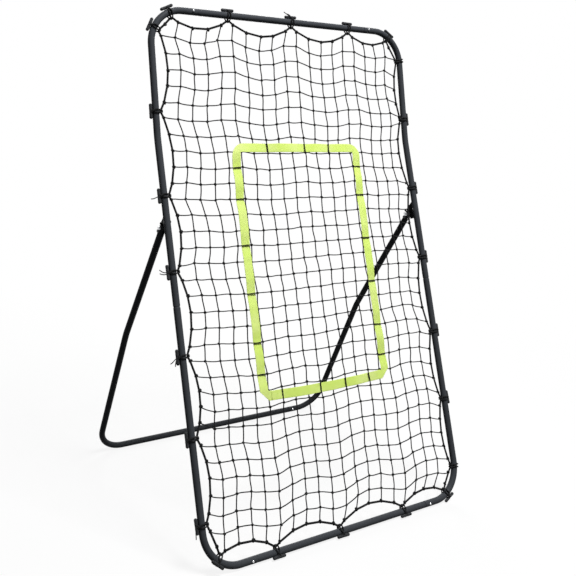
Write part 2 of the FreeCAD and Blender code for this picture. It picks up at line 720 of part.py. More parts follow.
def make_toggle(angle):
    """One toggle: a round bar with domed ends, parallel to the tube."""
    radius = TOGGLE_D / 2
    straight_half = TOGGLE_L / 2 - radius
    profile = Part.Wire([
        Part.LineSegment(Vector(-TOGGLE_L / 2, 0, 0), Vector(TOGGLE_L / 2, 0, 0)).toShape(),
        Part.Arc(
            Vector(TOGGLE_L / 2, 0, 0),
            Vector(straight_half + radius * math.sqrt(0.5), radius * math.sqrt(0.5), 0),
            Vector(straight_half, radius, 0),
        ).toShape(),
        Part.LineSegment(Vector(straight_half, radius, 0), Vector(-straight_half, radius, 0)).toShape(),
        Part.Arc(
            Vector(-straight_half, radius, 0),
            Vector(-straight_half - radius * math.sqrt(0.5), radius * math.sqrt(0.5), 0),
            Vector(-TOGGLE_L / 2, 0, 0),
        ).toShape(),
    ])
    bar = Part.Face(profile).revolve(Vector(0, 0, 0), ACROSS, 360)
    bar.translate(toggle_centre(angle))
    return [bar]


def around_two(first, first_r, second, second_r):
    """The outline drawn tight round two circles in a toggle's own YZ plane, as a face."""
    axis = second - first
    spread = math.acos((first_r - second_r) / axis.Length)
    direction = axis.normalize()
    tangents = []
    for sign in (1, -1):
        turn = Rotation(ACROSS, math.degrees(sign * spread))
        normal = turn.multVec(direction)
        tangents.append((first + normal * first_r, second + normal * second_r))
    (first_a, second_a), (first_b, second_b) = tangents
    edges = [
        Part.Arc(first_a, first - direction * first_r, first_b).toShape(),
        Part.LineSegment(first_b, second_b).toShape(),
        Part.Arc(second_b, second + direction * second_r, second_a).toShape(),
        Part.LineSegment(second_a, first_a).toShape(),
    ]
    return Part.Face(Part.Wire(edges))


def make_elastic_loop(angle):
    """The two strands of an elastic loop, tight round the rope, the tube and the toggle."""
    rope = Vector(0, -ROPE_IN, 0)
    tube = Vector(0, 0, 0)
    toggle = toggle_centre(angle)
    layers = []
    for extra in (LOOP_CLEARANCE + LOOP_CORD, LOOP_CLEARANCE):
        round_rope = around_two(rope, ROPE_R + extra, tube, TUBE_R + extra)
        round_toggle = around_two(tube, TUBE_R + extra, toggle, TOGGLE_D / 2 + extra)
        along = ACROSS * LOOP_CORD
        layers.append(round_rope.extrude(along).fuse(round_toggle.extrude(along)))
    ring = layers[0].cut(layers[1]).removeSplitter()
    strands = []
    for sign in (-1, 1):
        strand = ring.copy()
        strand.translate(ACROSS * (sign * LOOP_PITCH / 2 - LOOP_CORD / 2))
        strands.append(strand)
    return strands


def make_group(group, maker):
    """All the toggles or elastic loops of one group, as separate solids."""
    placed = []
    for place, angle in zip(PLACES[group], SWINGS[group]):
        placed.extend(place_solids(maker(angle), place))
    return Part.Compound(placed)


# Net and border rope, laid out flat by x and developed height


def border_holds():
    """Where the loops hold the border, clockwise from the bottom left, as (point, direction outwards).

    Both are pairs of x and height.
    """
    bend = CORNER_BEND_R - ROPE_IN
    side_x = SIDE_X - ROPE_IN
    holds = [((-side_x, height), (-1, 0)) for height in LEFT_TOGGLES]

    def corner(side, vertical, angle):
        turn = math.radians(angle)
        outward = (side * math.sin(turn), vertical * math.cos(turn))
        x = side * (SIDE_X - CORNER_BEND_R) + bend * outward[0]
        middle = FRAME_H - CORNER_BEND_R if vertical > 0 else CORNER_BEND_R
        return (x, middle + bend * outward[1]), outward

    holds += [corner(-1, 1, angle) for angle in reversed(TOP_LEFT_TOGGLES)]
    holds += [((x, FRAME_H - ROPE_IN), (0, 1)) for x in TOP_TOGGLES]
    holds += [corner(1, 1, angle) for angle in TOP_RIGHT_TOGGLES]
    holds += [((side_x, height), (1, 0)) for height in reversed(RIGHT_TOGGLES)]
    holds += [corner(1, -1, angle) for angle in reversed(BOTTOM_RIGHT_TOGGLES)]
    holds += [((x, ROPE_IN), (0, -1)) for x in reversed(BOTTOM_TOGGLES)]
    holds += [corner(-1, -1, angle) for angle in BOTTOM_LEFT_TOGGLES]
    return holds


def scallop_share(start, end):
    """How deep a scallop's control point lies, as a share of the run between its two holds."""
    if math.dist(start, end) < SCALLOP_CORNER_RUN:
        return SCALLOP_CORNER
    if min(start[1], end[1]) > FRAME_H - CORNER_BEND_R:
        return SCALLOP_TOP
    if max(start[1], end[1]) < CORNER_BEND_R:
        return SCALLOP_BOTTOM
    return SCALLOP_LEFT if start[0] < 0 else SCALLOP_RIGHT


def hold_end(hold, ahead):
    """The end of the straight bit of rope in a loop: the one ahead (1) or behind (-1), going clockwise."""
    (x, height), outward = hold
    reach = ahead * ROPE_HOLD_L / 2
    return x + reach * outward[1], height - reach * outward[0]


def border_route():
    """The border's corner points in turn, with the radius of the arc at each."""
    holds = border_holds()
    points = []
    radii = []
    for hold, following in zip(holds, holds[1:] + holds[:1]):
        start = hold_end(hold, 1)
        end = hold_end(following, -1)
        run = math.dist(start, end)
        share = scallop_share(start, end)
        inward = ((end[1] - start[1]) / run, (start[0] - end[0]) / run)
        middle = [(start[axis] + end[axis]) / 2 + inward[axis] * share * run for axis in (0, 1)]
        side_run = math.dist(start, middle)
        points += [start, tuple(middle), end]
        radii += [ROPE_HOLD_R, SCALLOP_BEND * side_run / (2 * share), ROPE_HOLD_R]
    return points, radii


def closed_path(points, radii):
    """A closed path round the points, which starts and ends on the straight bit after its first corner."""
    start = points[0] + (points[1] - points[0]) * ((1 - SCALLOP_BEND) / 2)
    return rounded_path([start] + points[1:] + [points[0], start], radii[1:] + radii[:1])


def make_border_rope():
    """The rope round the net's edge, pulled out by each loop and drawn in between them.

    It is swept in two halves that are then joined, because one closed sweep would overlap itself.
    """
    points, radii = border_route()
    path = closed_path([frame_point(x, height) for x, height in points], radii)
    edges = path.OrderedEdges
    half = len(edges) // 2
    rope = swept_round(Part.Wire(edges[:half]), ROPE_R).fuse(swept_round(Part.Wire(edges[half:]), ROPE_R))
    section = math.pi * ROPE_R ** 2
    print("rope length:", path.Length, "by volume:", rope.Volume / section)
    return rope


def flat_outline():
    """The net's outline in the flat, as a face at Y = 0 that ends on the rope's centreline."""
    points, radii = border_route()
    return Part.Face(closed_path([Vector(x, 0, height) for x, height in points], radii))


def grid_lines():
    """The places of the net's cords, with the outer ones pushed out past the border."""
    step = 2 * NET_HALF_W / NET_COLUMNS
    across = [-NET_HALF_W + index * step for index in range(NET_COLUMNS + 1)]
    lower_step = (TOP_BEND_HEIGHT - NET_BOTTOM_GAP) / NET_ROWS_LOWER
    upper_step = (NET_TOP - TOP_BEND_HEIGHT) / NET_ROWS_UPPER
    up = [NET_BOTTOM_GAP + index * lower_step for index in range(NET_ROWS_LOWER)]
    up += [TOP_BEND_HEIGHT + index * upper_step for index in range(NET_ROWS_UPPER + 1)]
    across[0] = -SIDE_X
    across[-1] = SIDE_X
    up[0] = 0
    up[-1] = FRAME_H
    return across, up


def make_net_panel(low, high):
    """The part of the flat net between two heights, with its gaps cut out."""
    across, up = grid_lines()
    inside = flat_outline().makeOffset2D(-NET_BORDER_W)
    gaps = []
    for left, right in zip(across, across[1:]):
        for bottom, top in zip(up, up[1:]):
            if bottom < low or top > high:
                continue
            corner = Vector(left + NET_CORD_W / 2, 0, bottom + NET_CORD_W / 2)
            cell = Part.makePlane(
                top - bottom - NET_CORD_W, right - left - NET_CORD_W, corner, REARWARD, UP
            )
            gap = cell.common(inside)
            if gap.Area > NET_LEAST_GAP:
                gaps.append(gap.Faces[0])
    strip = Part.makePlane(high - low + NET_CORD_W, FRAME_W, Vector(-SIDE_X, 0, low - NET_CORD_W / 2), REARWARD, UP)
    panel = flat_outline().common(strip).cut(Part.Compound(gaps))
    solid = panel.extrude(REARWARD * NET_T)
    solid.translate(FORWARD * NET_T / 2)
    return solid, len(gaps)


def make_net():
    """The knotted net: a flat lower panel and a top panel that follows the frame's forward bend."""
    lower, lower_gaps = make_net_panel(0, TOP_BEND_HEIGHT)
    upper, upper_gaps = make_net_panel(TOP_BEND_HEIGHT, FRAME_H)
    upper.rotate(Vector(0, 0, TOP_BEND_HEIGHT), ACROSS, TOP_BEND_ANGLE)
    print("net gaps:", lower_gaps + upper_gaps)
    return lower.fuse(upper)


def make_target_ribbon():
    """The strike zone: a frame of flat webbing with rounded top corners and folded bottom ones."""
    front = -NET_T / 2
    mitre = RIBBON_MITRE
    radius = RIBBON_CORNER_R
    left, right, bottom, top = RIBBON_LEFT, RIBBON_RIGHT, RIBBON_BOTTOM, RIBBON_TOP
    bulge = radius * (1 - math.sqrt(0.5))

    def at(x, height):
        return Vector(x, front, height)

    edges = [
        Part.LineSegment(at(left + mitre, bottom), at(right - mitre, bottom)).toShape(),
        Part.LineSegment(at(right - mitre, bottom), at(right, bottom + mitre)).toShape(),
        Part.LineSegment(at(right, bottom + mitre), at(right, top - radius)).toShape(),
        Part.Arc(at(right, top - radius), at(right - bulge, top - bulge), at(right - radius, top)).toShape(),
        Part.LineSegment(at(right - radius, top), at(left + radius, top)).toShape(),
        Part.Arc(at(left + radius, top), at(left + bulge, top - bulge), at(left, top - radius)).toShape(),
        Part.LineSegment(at(left, top - radius), at(left, bottom + mitre)).toShape(),
        Part.LineSegment(at(left, bottom + mitre), at(left + mitre, bottom)).toShape(),
    ]
    outside = Part.Face(Part.Wire(edges)).extrude(FORWARD * RIBBON_T)
    inside = Part.makeBox(right - left - 2 * RIBBON_W, RIBBON_T, top - bottom - 2 * RIBBON_W)
    inside.translate(Vector(left + RIBBON_W, front - RIBBON_T, bottom + RIBBON_W))
    return outside.cut(inside)


def both_sides(maker):
    """The left and right copies of a small fastener, as two separate solids."""
    return Part.Compound([maker(-1), maker(1)])


nodes = {
    "top_crossbar": make_crossbar(FRAME_H),
    "bottom_crossbar": make_crossbar(0),
    "upper_left_tube": make_upper_tube(-1),
    "upper_right_tube": make_upper_tube(1),
    "lower_left_tube": make_lower_tube(-1),
    "lower_right_tube": make_lower_tube(1),
    "left_angle_plate": make_angle_plate(-1),
    "right_angle_plate": make_angle_plate(1),
    "bracket_rivets": both_sides(make_bracket_rivet),
    "left_leg_tube": make_left_leg(),
    "right_leg_tube": make_right_leg(),
    "pivot_bolts": both_sides(make_pivot_bolt),
    "pivot_nuts": both_sides(make_pivot_nut),
    "pivot_washers": Part.Compound([
        make_pivot_washer(side, outer) for side in (-1, 1) for outer in (True, False)
    ]),
    "left_lock_pin": make_lock_pin(-1),
    "right_lock_pin": make_lock_pin(1),
    "left_lock_plunger": make_lock_plunger(-1),
    "right_lock_plunger": make_lock_plunger(1),
    "left_lock_spring": make_lock_spring(-1),
    "right_lock_spring": make_lock_spring(1),
    "stop_rivets": both_sides(make_stop_rivet),
    "net": make_net(),
    "border_rope": make_border_rope(),
    "target_ribbon": make_target_ribbon(),
}
for name, point, outward, along in BUTTONS:
    nodes[name] = make_button(point, outward)
    nodes[name + "_spring"] = make_button_spring(point, outward, along)
for group in PLACES:
    nodes[group + "_toggles"] = make_group(group, make_toggle)
    nodes[group + "_loops"] = make_group(group, make_elastic_loop)


def standing():
    """Leans the frame back until the bottom loops and the rear bar both stand on the floor."""
    corner = leg_corner(1)
    reach = math.hypot(corner.y, corner.z)
    front_r = TUBE_R + LOOP_CLEARANCE + LOOP_CORD
    lean = math.degrees(math.atan2(corner.z, corner.y) + math.asin((front_r - TUBE_R) / reach))
    print("lean:", lean)
    return Placement(Vector(0, 0, front_r), Rotation(ACROSS, -lean))


stand = standing()
for shape in nodes.values():
    shape.Placement = stand.multiply(shape.Placement)
box = Part.Compound(list(nodes.values())).optimalBoundingBox(False, False)
to_origin = Vector(-box.Center.x, -box.Center.y, 0)
for name, shape in nodes.items():
    shape.translate(to_origin)
    shape.exportStep("parts/" + name + ".step")
    print(name, "solids", len(shape.Solids), "valid", shape.isValid(), "volume", round(shape.Volume, 1))
print("size:", box.XLength, box.YLength, box.ZLength)

# The joints: the leg turns on its bolts, the lock pins slide along the leg and the buttons press in


def placed_point(point):
    """Where an upright point ends up, in the finished part."""
    return stand.multVec(point) + to_origin


def placed_direction(direction):
    """Which way an upright direction points, in the finished part."""
    return stand.Rotation.multVec(direction)


print("leg turns at", placed_point(pivot_point(0)), "by", LEG_FOLD_ANGLE, "degrees towards the frame")
print("lock pins slide", PIN_TRAVEL, "mm along", placed_direction(UPPER_LEG))
for name, point, outward, along in BUTTONS:
    print(name, "presses in", BUTTON_TRAVEL, "mm along", placed_direction(outward * -1))
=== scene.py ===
import json
import math

import bmesh
import bpy
import numpy as np
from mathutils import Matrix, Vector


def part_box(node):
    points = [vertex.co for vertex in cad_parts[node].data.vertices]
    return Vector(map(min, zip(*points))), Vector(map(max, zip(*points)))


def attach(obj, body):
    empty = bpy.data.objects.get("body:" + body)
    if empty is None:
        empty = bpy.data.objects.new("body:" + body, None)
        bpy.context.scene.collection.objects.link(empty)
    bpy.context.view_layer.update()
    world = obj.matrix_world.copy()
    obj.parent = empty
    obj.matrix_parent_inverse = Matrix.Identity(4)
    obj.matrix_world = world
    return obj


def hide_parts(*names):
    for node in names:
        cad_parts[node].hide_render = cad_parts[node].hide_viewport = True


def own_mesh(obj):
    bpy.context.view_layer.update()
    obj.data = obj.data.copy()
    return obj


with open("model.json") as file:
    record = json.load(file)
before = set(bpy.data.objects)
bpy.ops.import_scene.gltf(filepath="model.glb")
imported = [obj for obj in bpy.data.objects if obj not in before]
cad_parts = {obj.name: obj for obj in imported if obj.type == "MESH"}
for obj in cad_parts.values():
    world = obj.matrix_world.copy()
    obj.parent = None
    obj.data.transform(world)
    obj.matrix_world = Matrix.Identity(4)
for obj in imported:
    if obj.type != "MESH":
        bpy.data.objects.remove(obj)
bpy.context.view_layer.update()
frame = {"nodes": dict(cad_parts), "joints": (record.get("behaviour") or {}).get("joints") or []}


# Studio: a white floor that keeps the soft shadow, a white surround, three soft lamps and the
# camera at the photograph's viewing angle. None of it belongs to the rebounder.

scene = bpy.context.scene
scene.view_settings.view_transform = "Standard"

CAMERA_PLACE = (-1.5984, -2.1004, 1.4411)
CAMERA_TURN = (79.2406, -3.5414, -30.9502)
CAMERA_LENS = 48.48
CAMERA_SHIFT = 0.12
CAMERA_SENSOR = 36
CAMERA_RANGE = (0.05, 60)

camera_data = bpy.data.cameras.new("camera")
camera_data.sensor_width = CAMERA_SENSOR
camera_data.lens = CAMERA_LENS
camera_data.shift_x = CAMERA_SHIFT
camera_data.shift_y = -CAMERA_SHIFT
camera_data.clip_start, camera_data.clip_end = CAMERA_RANGE
camera = bpy.data.objects.new("camera", camera_data)
camera.location = CAMERA_PLACE
camera.rotation_euler = [math.radians(angle) for angle in CAMERA_TURN]
scene.collection.objects.link(camera)
scene.camera = camera

FLOOR_HALF = 12.0
FLOOR_COLOUR = (0.07, 0.07, 0.07, 1)
FLOOR_SHADOW_COLOUR = (0.12, 0.12, 0.12, 1)
FLOOR_GLOW = 0.855
FLOOR_FADE = (1.3, 2.6)
SURROUND_COLOUR = (0.93, 0.96, 1.0, 1)
SURROUND_LIGHT = 0.05
WHITE = (1, 1, 1, 1)

floor_mesh = bpy.data.meshes.new("floor")
floor_mesh.from_pydata(
    [(x * FLOOR_HALF, y * FLOOR_HALF, 0) for x, y in ((-1, -1), (1, -1), (1, 1), (-1, 1))],
    [], [(0, 1, 2, 3)],
)
floor = bpy.data.objects.new("floor", floor_mesh)
scene.collection.objects.link(floor)


def feed(tree, socket, value):
    """Links an output socket to an input, or sets the input to a plain value."""
    if isinstance(value, bpy.types.NodeSocket):
        tree.links.new(value, socket)
    else:
        socket.default_value = value


def node(tree, kind, *inputs, **values):
    """Adds a shader node and gives its outputs.

    Its inputs are fed in their order, or by name; names in lower case are the node's properties.
    """
    made = tree.nodes.new("ShaderNode" + kind)
    for name, value in values.items():
        if name.islower():
            setattr(made, name, value)
    for socket, value in zip(made.inputs, inputs):
        feed(tree, socket, value)
    for name, value in values.items():
        if not name.islower():
            label = name.replace("_", " ")
            feed(tree, next(s for s in made.inputs if s.name == label and s.enabled), value)
    return made.outputs


def maths(tree, operation, *inputs, **values):
    """The result of one Math node."""
    return node(tree, "Math", *inputs, operation=operation, **values)[0]


def rescale(tree, source, low, high, new_low=0.0, new_high=1.0):
    """A value taken from one range to another and clamped."""
    return node(tree, "MapRange", source, low, high, new_low, new_high, clamp=True)[0]


def wave(tree, turns):
    """A sine of this many whole turns."""
    return maths(tree, "SINE", maths(tree, "MULTIPLY", turns, 2 * math.pi))


def object_place(tree):
    """The shaded point's place in its object."""
    return node(tree, "TexCoord")["Object"]


def lit_or_seen(tree, lit, seen):
    """A shader that lights the scene as the first and is seen, directly or in mirrors, as the second."""
    ray = node(tree, "LightPath")
    direct = maths(tree, "MAXIMUM", ray["Is Camera Ray"], ray["Is Transmission Ray"])
    return node(tree, "MixShader", maths(tree, "MAXIMUM", direct, ray["Is Glossy Ray"]), lit, seen)[0]


def empty_tree(owner):
    """Switches an owner's node tree on and clears it."""
    owner.use_nodes = True
    owner.node_tree.nodes.clear()
    return owner.node_tree


# Light bounces off the floor as off grey paper. The camera and mirrors see it as the white
# backdrop, a little darker where the rebounder shades it, and plain white further off.
floor_material = bpy.data.materials.new("white_floor")
tree = empty_tree(floor_material)
paper = node(tree, "BsdfDiffuse", Color=FLOOR_COLOUR)[0]
shaded = node(tree, "BsdfDiffuse", Color=FLOOR_SHADOW_COLOUR)[0]
glow = node(tree, "Emission", Color=WHITE, Strength=FLOOR_GLOW)[0]
near_white = node(tree, "AddShader", shaded, glow)[0]
plain_white = node(tree, "Emission", Color=WHITE, Strength=1.0)[0]
away = node(tree, "VectorMath", object_place(tree), operation="LENGTH")["Value"]
backdrop = node(tree, "MixShader", rescale(tree, away, *FLOOR_FADE), near_white, plain_white)[0]
node(tree, "OutputMaterial", Surface=lit_or_seen(tree, paper, backdrop))
floor_mesh.materials.append(floor_material)

scene.world = bpy.data.worlds.new("white_surround")
tree = empty_tree(scene.world)
soft = node(tree, "Background", Color=SURROUND_COLOUR, Strength=SURROUND_LIGHT)[0]
white = node(tree, "Background", Color=WHITE, Strength=1.0)[0]
node(tree, "OutputWorld", Surface=lit_or_seen(tree, soft, white))

LAMP_AIM = (0, 0, 0.8)
for name, place, size, power in (
    ("key_lamp", (0.6, -2.1, 5.6), 1.7, 345),
    ("fill_lamp", (-0.6, -3.9, 2.2), 2.4, 10),
    ("back_lamp", (1.8, 3.2, 2.1), 2.2, 105),
):
    lamp_data = bpy.data.lights.new(name, "AREA")
    lamp_data.size = size
    lamp_data.energy = power
    lamp = bpy.data.objects.new(name, lamp_data)
    lamp.location = place
    direction = Vector(LAMP_AIM) - Vector(place)
    lamp.rotation_euler = direction.to_track_quat("-Z", "Y").to_euler()
    scene.collection.objects.link(lamp)


# Frame tubes: 22 mm steel tube, bent at the corners, drawn down at its ends to slide together, and
# powder coated satin black. The coat has a faint orange peel and a dusting of pale rubbed spots.


def new_group(name, inputs, outputs):
    """A shader node group with named inputs, each with its starting value, and named outputs."""
    group = bpy.data.node_groups.new(name, "ShaderNodeTree")
    for label, value in inputs.items():
        kind = "NodeSocketColor" if isinstance(value, tuple) else "NodeSocketFloat"
        group.interface.new_socket(label, in_out="INPUT", socket_type=kind).default_value = value
    for label, kind in outputs.items():
        group.interface.new_socket(label, in_out="OUTPUT", socket_type="NodeSocket" + kind)
    return group, group.nodes.new("NodeGroupInput").outputs, group.nodes.new("NodeGroupOutput").inputs


def group_node(tree, group, **values):
    """Places a node group in a material, feeds its inputs by name and gives its outputs."""
    made = tree.nodes.new("ShaderNodeGroup")
    made.node_tree = group
    for name, value in values.items():
        feed(tree, made.inputs[name.replace("_", " ")], value)
    return made.outputs


def noise(tree, place, **values):
    """Soft noise from 0 to 1 at a place."""
    return node(tree, "TexNoise", Vector=place, **values)["Fac"]


MIX_SOCKETS = {"FLOAT": (0, 2, 3, 0), "RGBA": (0, 6, 7, 2)}


def blend(tree, share, first, second, data_type="RGBA"):
    """The first colour or number mixed into the second by a share."""
    made = tree.nodes.new("ShaderNodeMix")
    made.data_type = data_type
    *places, result = MIX_SOCKETS[data_type]
    for index, value in zip(places, (share, first, second)):
        feed(tree, made.inputs[index], value)
    return made.outputs[result]


# Group "fine grain": two sizes of noise on Object coordinates; the fine one is the height for a
# bump, and the broad one varies roughness
fine_grain, given, result = new_group(
    "fine_grain",
    {"Grain Scale": 900.0, "Broad Scale": 14.0, "Roughness Low": 0.3, "Roughness High": 0.42},
    {"Height": "Float", "Roughness": "Float", "Broad": "Float"},
)
place = object_place(fine_grain)
grain = noise(fine_grain, place, Scale=given["Grain Scale"], Detail=3.0, Roughness=0.6)
broad = noise(fine_grain, place, Scale=given["Broad Scale"], Detail=4.0, Roughness=0.55)
feed(fine_grain, result["Height"], grain)
feed(fine_grain, result["Roughness"],
     rescale(fine_grain, broad, 0.3, 0.7, given["Roughness Low"], given["Roughness High"]))
feed(fine_grain, result["Broad"], broad)

# Group "dust": pale specks and a film, in patches and most on faces that look up, over a colour
dust, given, result = new_group(
    "dust",
    {"Color": (0.02, 0.02, 0.02, 1), "Dust Color": (0.3, 0.3, 0.29, 1),
     "Film": 0.06, "Specks": 0.25, "Speck Scale": 420.0},
    {"Color": "Color"},
)
place = object_place(dust)
specks = rescale(dust, noise(dust, place, Scale=given["Speck Scale"], Detail=1.0), 0.68, 0.74)
patches = rescale(dust, noise(dust, place, Scale=7.0, Detail=3.0), 0.35, 0.7, 0.3, 1.0)
facing = node(dust, "SeparateXYZ", node(dust, "NewGeometry")["Normal"])
upward = rescale(dust, facing["Z"], 0.0, 1.0, 0.15, 1.0)
cover = maths(dust, "ADD", maths(dust, "MULTIPLY", specks, given["Specks"]), given["Film"], use_clamp=True)
cover = maths(dust, "MULTIPLY", maths(dust, "MULTIPLY", cover, upward), patches)
feed(dust, result["Color"], blend(dust, cover, given["Color"], given["Dust Color"]))


def bump_normal(tree, height, depth):
    """A normal for a height; depth is in metres."""
    return node(tree, "Bump", Height=height, Distance=depth, Strength=1.0)["Normal"]


def new_material(name, **values):
    """A material with one Principled BSDF, its unlinked sockets' values, and its inputs to feed."""
    material = bpy.data.materials.new(name)
    tree = empty_tree(material)
    shader = tree.nodes.new("ShaderNodeBsdfPrincipled")
    for label, value in values.items():
        shader.inputs[label.replace("_", " ")].default_value = value
    node(tree, "OutputMaterial", Surface=shader.outputs[0])
    return material, tree, shader.inputs


def dusty_blend(tree, share, dark, pale, **dusting):
    """A colour between a dark and a pale one, by a share, under dust."""
    return group_node(tree, dust, Color=blend(tree, share, dark, pale), **dusting)["Color"]


def powder_coat(name, dark, pale, rough, peel_scale, peel_depth):
    """A powder coat: colour drifts between two blacks, roughness varies and the peel is a bump."""
    material, tree, shader = new_material(name, Specular_IOR_Level=0.02)
    peel = group_node(tree, fine_grain, Grain_Scale=peel_scale, Broad_Scale=9.0,
                      Roughness_Low=rough[0], Roughness_High=rough[1])
    feed(tree, shader["Base Color"], dusty_blend(
        tree, peel["Broad"], dark, pale,
        Dust_Color=(0.22, 0.23, 0.24, 1), Film=0.05, Specks=0.3, Speck_Scale=520.0))
    feed(tree, shader["Roughness"], peel["Roughness"])
    feed(tree, shader["Normal"], bump_normal(tree, peel["Height"], peel_depth))
    return material


def dress(material, *names):
    """Gives CAD nodes this material."""
    for name in names:
        mesh = frame["nodes"][name].data
        mesh.materials.clear()
        mesh.materials.append(material)


dress(powder_coat("tube_black", dark=(0.043, 0.0468, 0.0528, 1), pale=(0.056, 0.0605, 0.068, 1),
                  rough=(0.3, 0.42), peel_scale=850.0, peel_depth=0.00006),
      "top_crossbar", "bottom_crossbar", "upper_left_tube", "upper_right_tube",
      "lower_left_tube", "lower_right_tube")
# Painted shade: the legs have the frame tubes' coat, painted darker for the shade on their downward-facing
# fronts.
dress(powder_coat("leg_black_painted_shade", dark=(0.028, 0.030, 0.034, 1), pale=(0.038, 0.041, 0.046, 1),
                  rough=(0.26, 0.36), peel_scale=850.0, peel_depth=0.00006),
      "left_leg_tube", "right_leg_tube")


# Angle plates: stamped 4 mm steel sectors behind the side tubes, notched for the lock pins and
# powder coated a little flatter than the tubes. Black oxide rivets hold each to its tube.

dress(powder_coat("plate_black", dark=(0.003, 0.003, 0.0035, 1), pale=(0.008, 0.008, 0.009, 1),
                  rough=(0.38, 0.5), peel_scale=700.0, peel_depth=0.00008),
      "left_angle_plate", "right_angle_plate")


def plated_steel(name, dark, pale, rough, scratch_depth):
    """Plated or oiled steel: a cloudy metal colour with fine scratches stretched along one way."""
    material, tree, shader = new_material(name, Metallic=1.0)
    cloud = group_node(tree, fine_grain, Grain_Scale=600.0, Broad_Scale=160.0,
                       Roughness_Low=rough[0], Roughness_High=rough[1])
    feed(tree, shader["Base Color"], dusty_blend(
        tree, cloud["Broad"], dark, pale,
        Dust_Color=(0.2, 0.19, 0.18, 1), Film=0.04, Specks=0.2, Speck_Scale=900.0))
    feed(tree, shader["Roughness"], cloud["Roughness"])
    stretched = node(tree, "Mapping", Vector=object_place(tree), Scale=(1.0, 0.08, 1.0))[0]
    scratches = noise(tree, stretched, Scale=2600.0, Detail=2.0)
    feed(tree, shader["Normal"], bump_normal(tree, scratches, scratch_depth))
    return material


black_oxide = plated_steel("black_oxide", dark=(0.02, 0.021, 0.022, 1), pale=(0.05, 0.051, 0.053, 1),
                           rough=(0.28, 0.42), scratch_depth=0.00003)
dress(black_oxide, "bracket_rivets")


# Folding leg hardware: hexagon bolts, lock nuts and washers that the leg turns on, the headed pins
# that drop into the plates' notches, their plungers, and the stop rivets behind the lock springs.

dress(plated_steel("zinc_plate", dark=(0.5, 0.51, 0.53, 1), pale=(0.75, 0.76, 0.77, 1),
                   rough=(0.22, 0.36), scratch_depth=0.00003),
      "pivot_bolts", "pivot_nuts", "pivot_washers")
dress(black_oxide, "stop_rivets", "left_lock_pin", "right_lock_pin",
      "left_lock_plunger", "right_lock_plunger")
oiled_spring = plated_steel("oiled_spring", dark=(0.012, 0.012, 0.013, 1), pale=(0.035, 0.035, 0.037, 1),
                            rough=(0.25, 0.4), scratch_depth=0.00002)


SPRING_EASE = 0.00005


def giving_spring(node_name, joint_name, piece_name, body):
    """A spring: the CAD spring's own surface, its triangles joined up, set on its body.

    The end that the moving part pushes is lowest along the joint's axis. It is moved 0.05 mm towards
    the far end, which stays, so that its face and the moving part's don't coincide.
    """
    mesh = frame["nodes"][node_name].data.copy()
    joined = bmesh.new()
    joined.from_mesh(mesh)
    bmesh.ops.remove_doubles(joined, verts=joined.verts, dist=1e-6)
    joined.to_mesh(mesh)
    joined.free()
    mesh.materials.clear()
    mesh.materials.append(oiled_spring)
    spring = bpy.data.objects.new(piece_name, mesh)
    scene.collection.objects.link(spring)
    joint = next(row for row in frame["joints"] if row["name"] == joint_name)
    axis = np.array(joint["axis"])
    points = np.array([vertex.co for vertex in mesh.vertices])
    reach = points @ axis
    points += np.outer((reach.max() - reach) / np.ptp(reach) * SPRING_EASE, axis)
    mesh.vertices.foreach_set("co", points.ravel())
    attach(spring, body)
    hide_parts(node_name)
    tuple(points[reach.argmax()])
    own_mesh(spring)


for side in ("left", "right"):
    giving_spring(side + "_lock_spring", side + "_lock_pull", side + "_lock_coil", "leg")


# Snap buttons: bright round-topped pins that stand out of the slip joints, each on a hairpin strip
# of spring steel inside the tube.

BUTTON_NAMES = [name for name in frame["nodes"] if name.endswith("_button")]
dress(plated_steel("button_steel", dark=(0.48, 0.49, 0.51, 1), pale=(0.72, 0.73, 0.74, 1),
                   rough=(0.12, 0.24), scratch_depth=0.00001), *BUTTON_NAMES)
for name in BUTTON_NAMES:
    body = "leg" if name.startswith("rear") else "frame"
    giving_spring(name + "_spring", name + "_press", name + "_hairpin", body)


# Border rope: 5 mm black braided rope round the net's edge. Each elastic loop pulls it out towards
# the tube, and the net's tension draws it into a scallop between two loops.

LEAN = math.radians(20.2467)
TOP_BEND = math.radians(5.8)
TOP_BEND_HEIGHT = 1.295
FRAME_HALF_W = 0.520
FRAME_H = 1.700
CORNER_R = 0.115
TUBE_R = 0.011
ROPE_IN = 0.017
ROPE_R = 0.0027
ROPE_SIDES = 10
foot_low, foot_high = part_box("bottom_crossbar")
FOOT_Y = (foot_low.y + foot_high.y) / 2
FOOT_Z = (foot_low.z + foot_high.z) / 2


def bent(points):
    """Flat places (across, height along the frame, rearward) with the frame's top bent forward.

    Above the bend height the middle surface turns forward by the bend's angle.
    """
    points = np.asarray(points, float)
    across, height, back = points[..., 0], points[..., 1], points[..., 2]
    over = np.maximum(height - TOP_BEND_HEIGHT, 0)
    bend = np.where(over > 0, TOP_BEND, 0.0)
    rear = back * np.cos(bend) - over * np.sin(bend)
    up = np.minimum(height, TOP_BEND_HEIGHT) + over * np.cos(bend) + back * np.sin(bend)
    return np.stack([across, rear, up], axis=-1)


def leaning(points):
    """Places (across, rearward, up the lower frame) turned back by the lean and put on the foot."""
    across, rear, up = points[..., 0], points[..., 1], points[..., 2]
    return np.stack([
        across,
        FOOT_Y + rear * math.cos(LEAN) + up * math.sin(LEAN),
        FOOT_Z - rear * math.sin(LEAN) + up * math.cos(LEAN),
    ], axis=-1)


def on_frame(points):
    """Flat places on or behind the frame's middle surface as places in the room."""
    return leaning(bent(points))


def in_plane(flat):
    """Flat places (across, height) as points of the frame's middle surface."""
    return np.column_stack([flat, np.zeros(len(flat))])


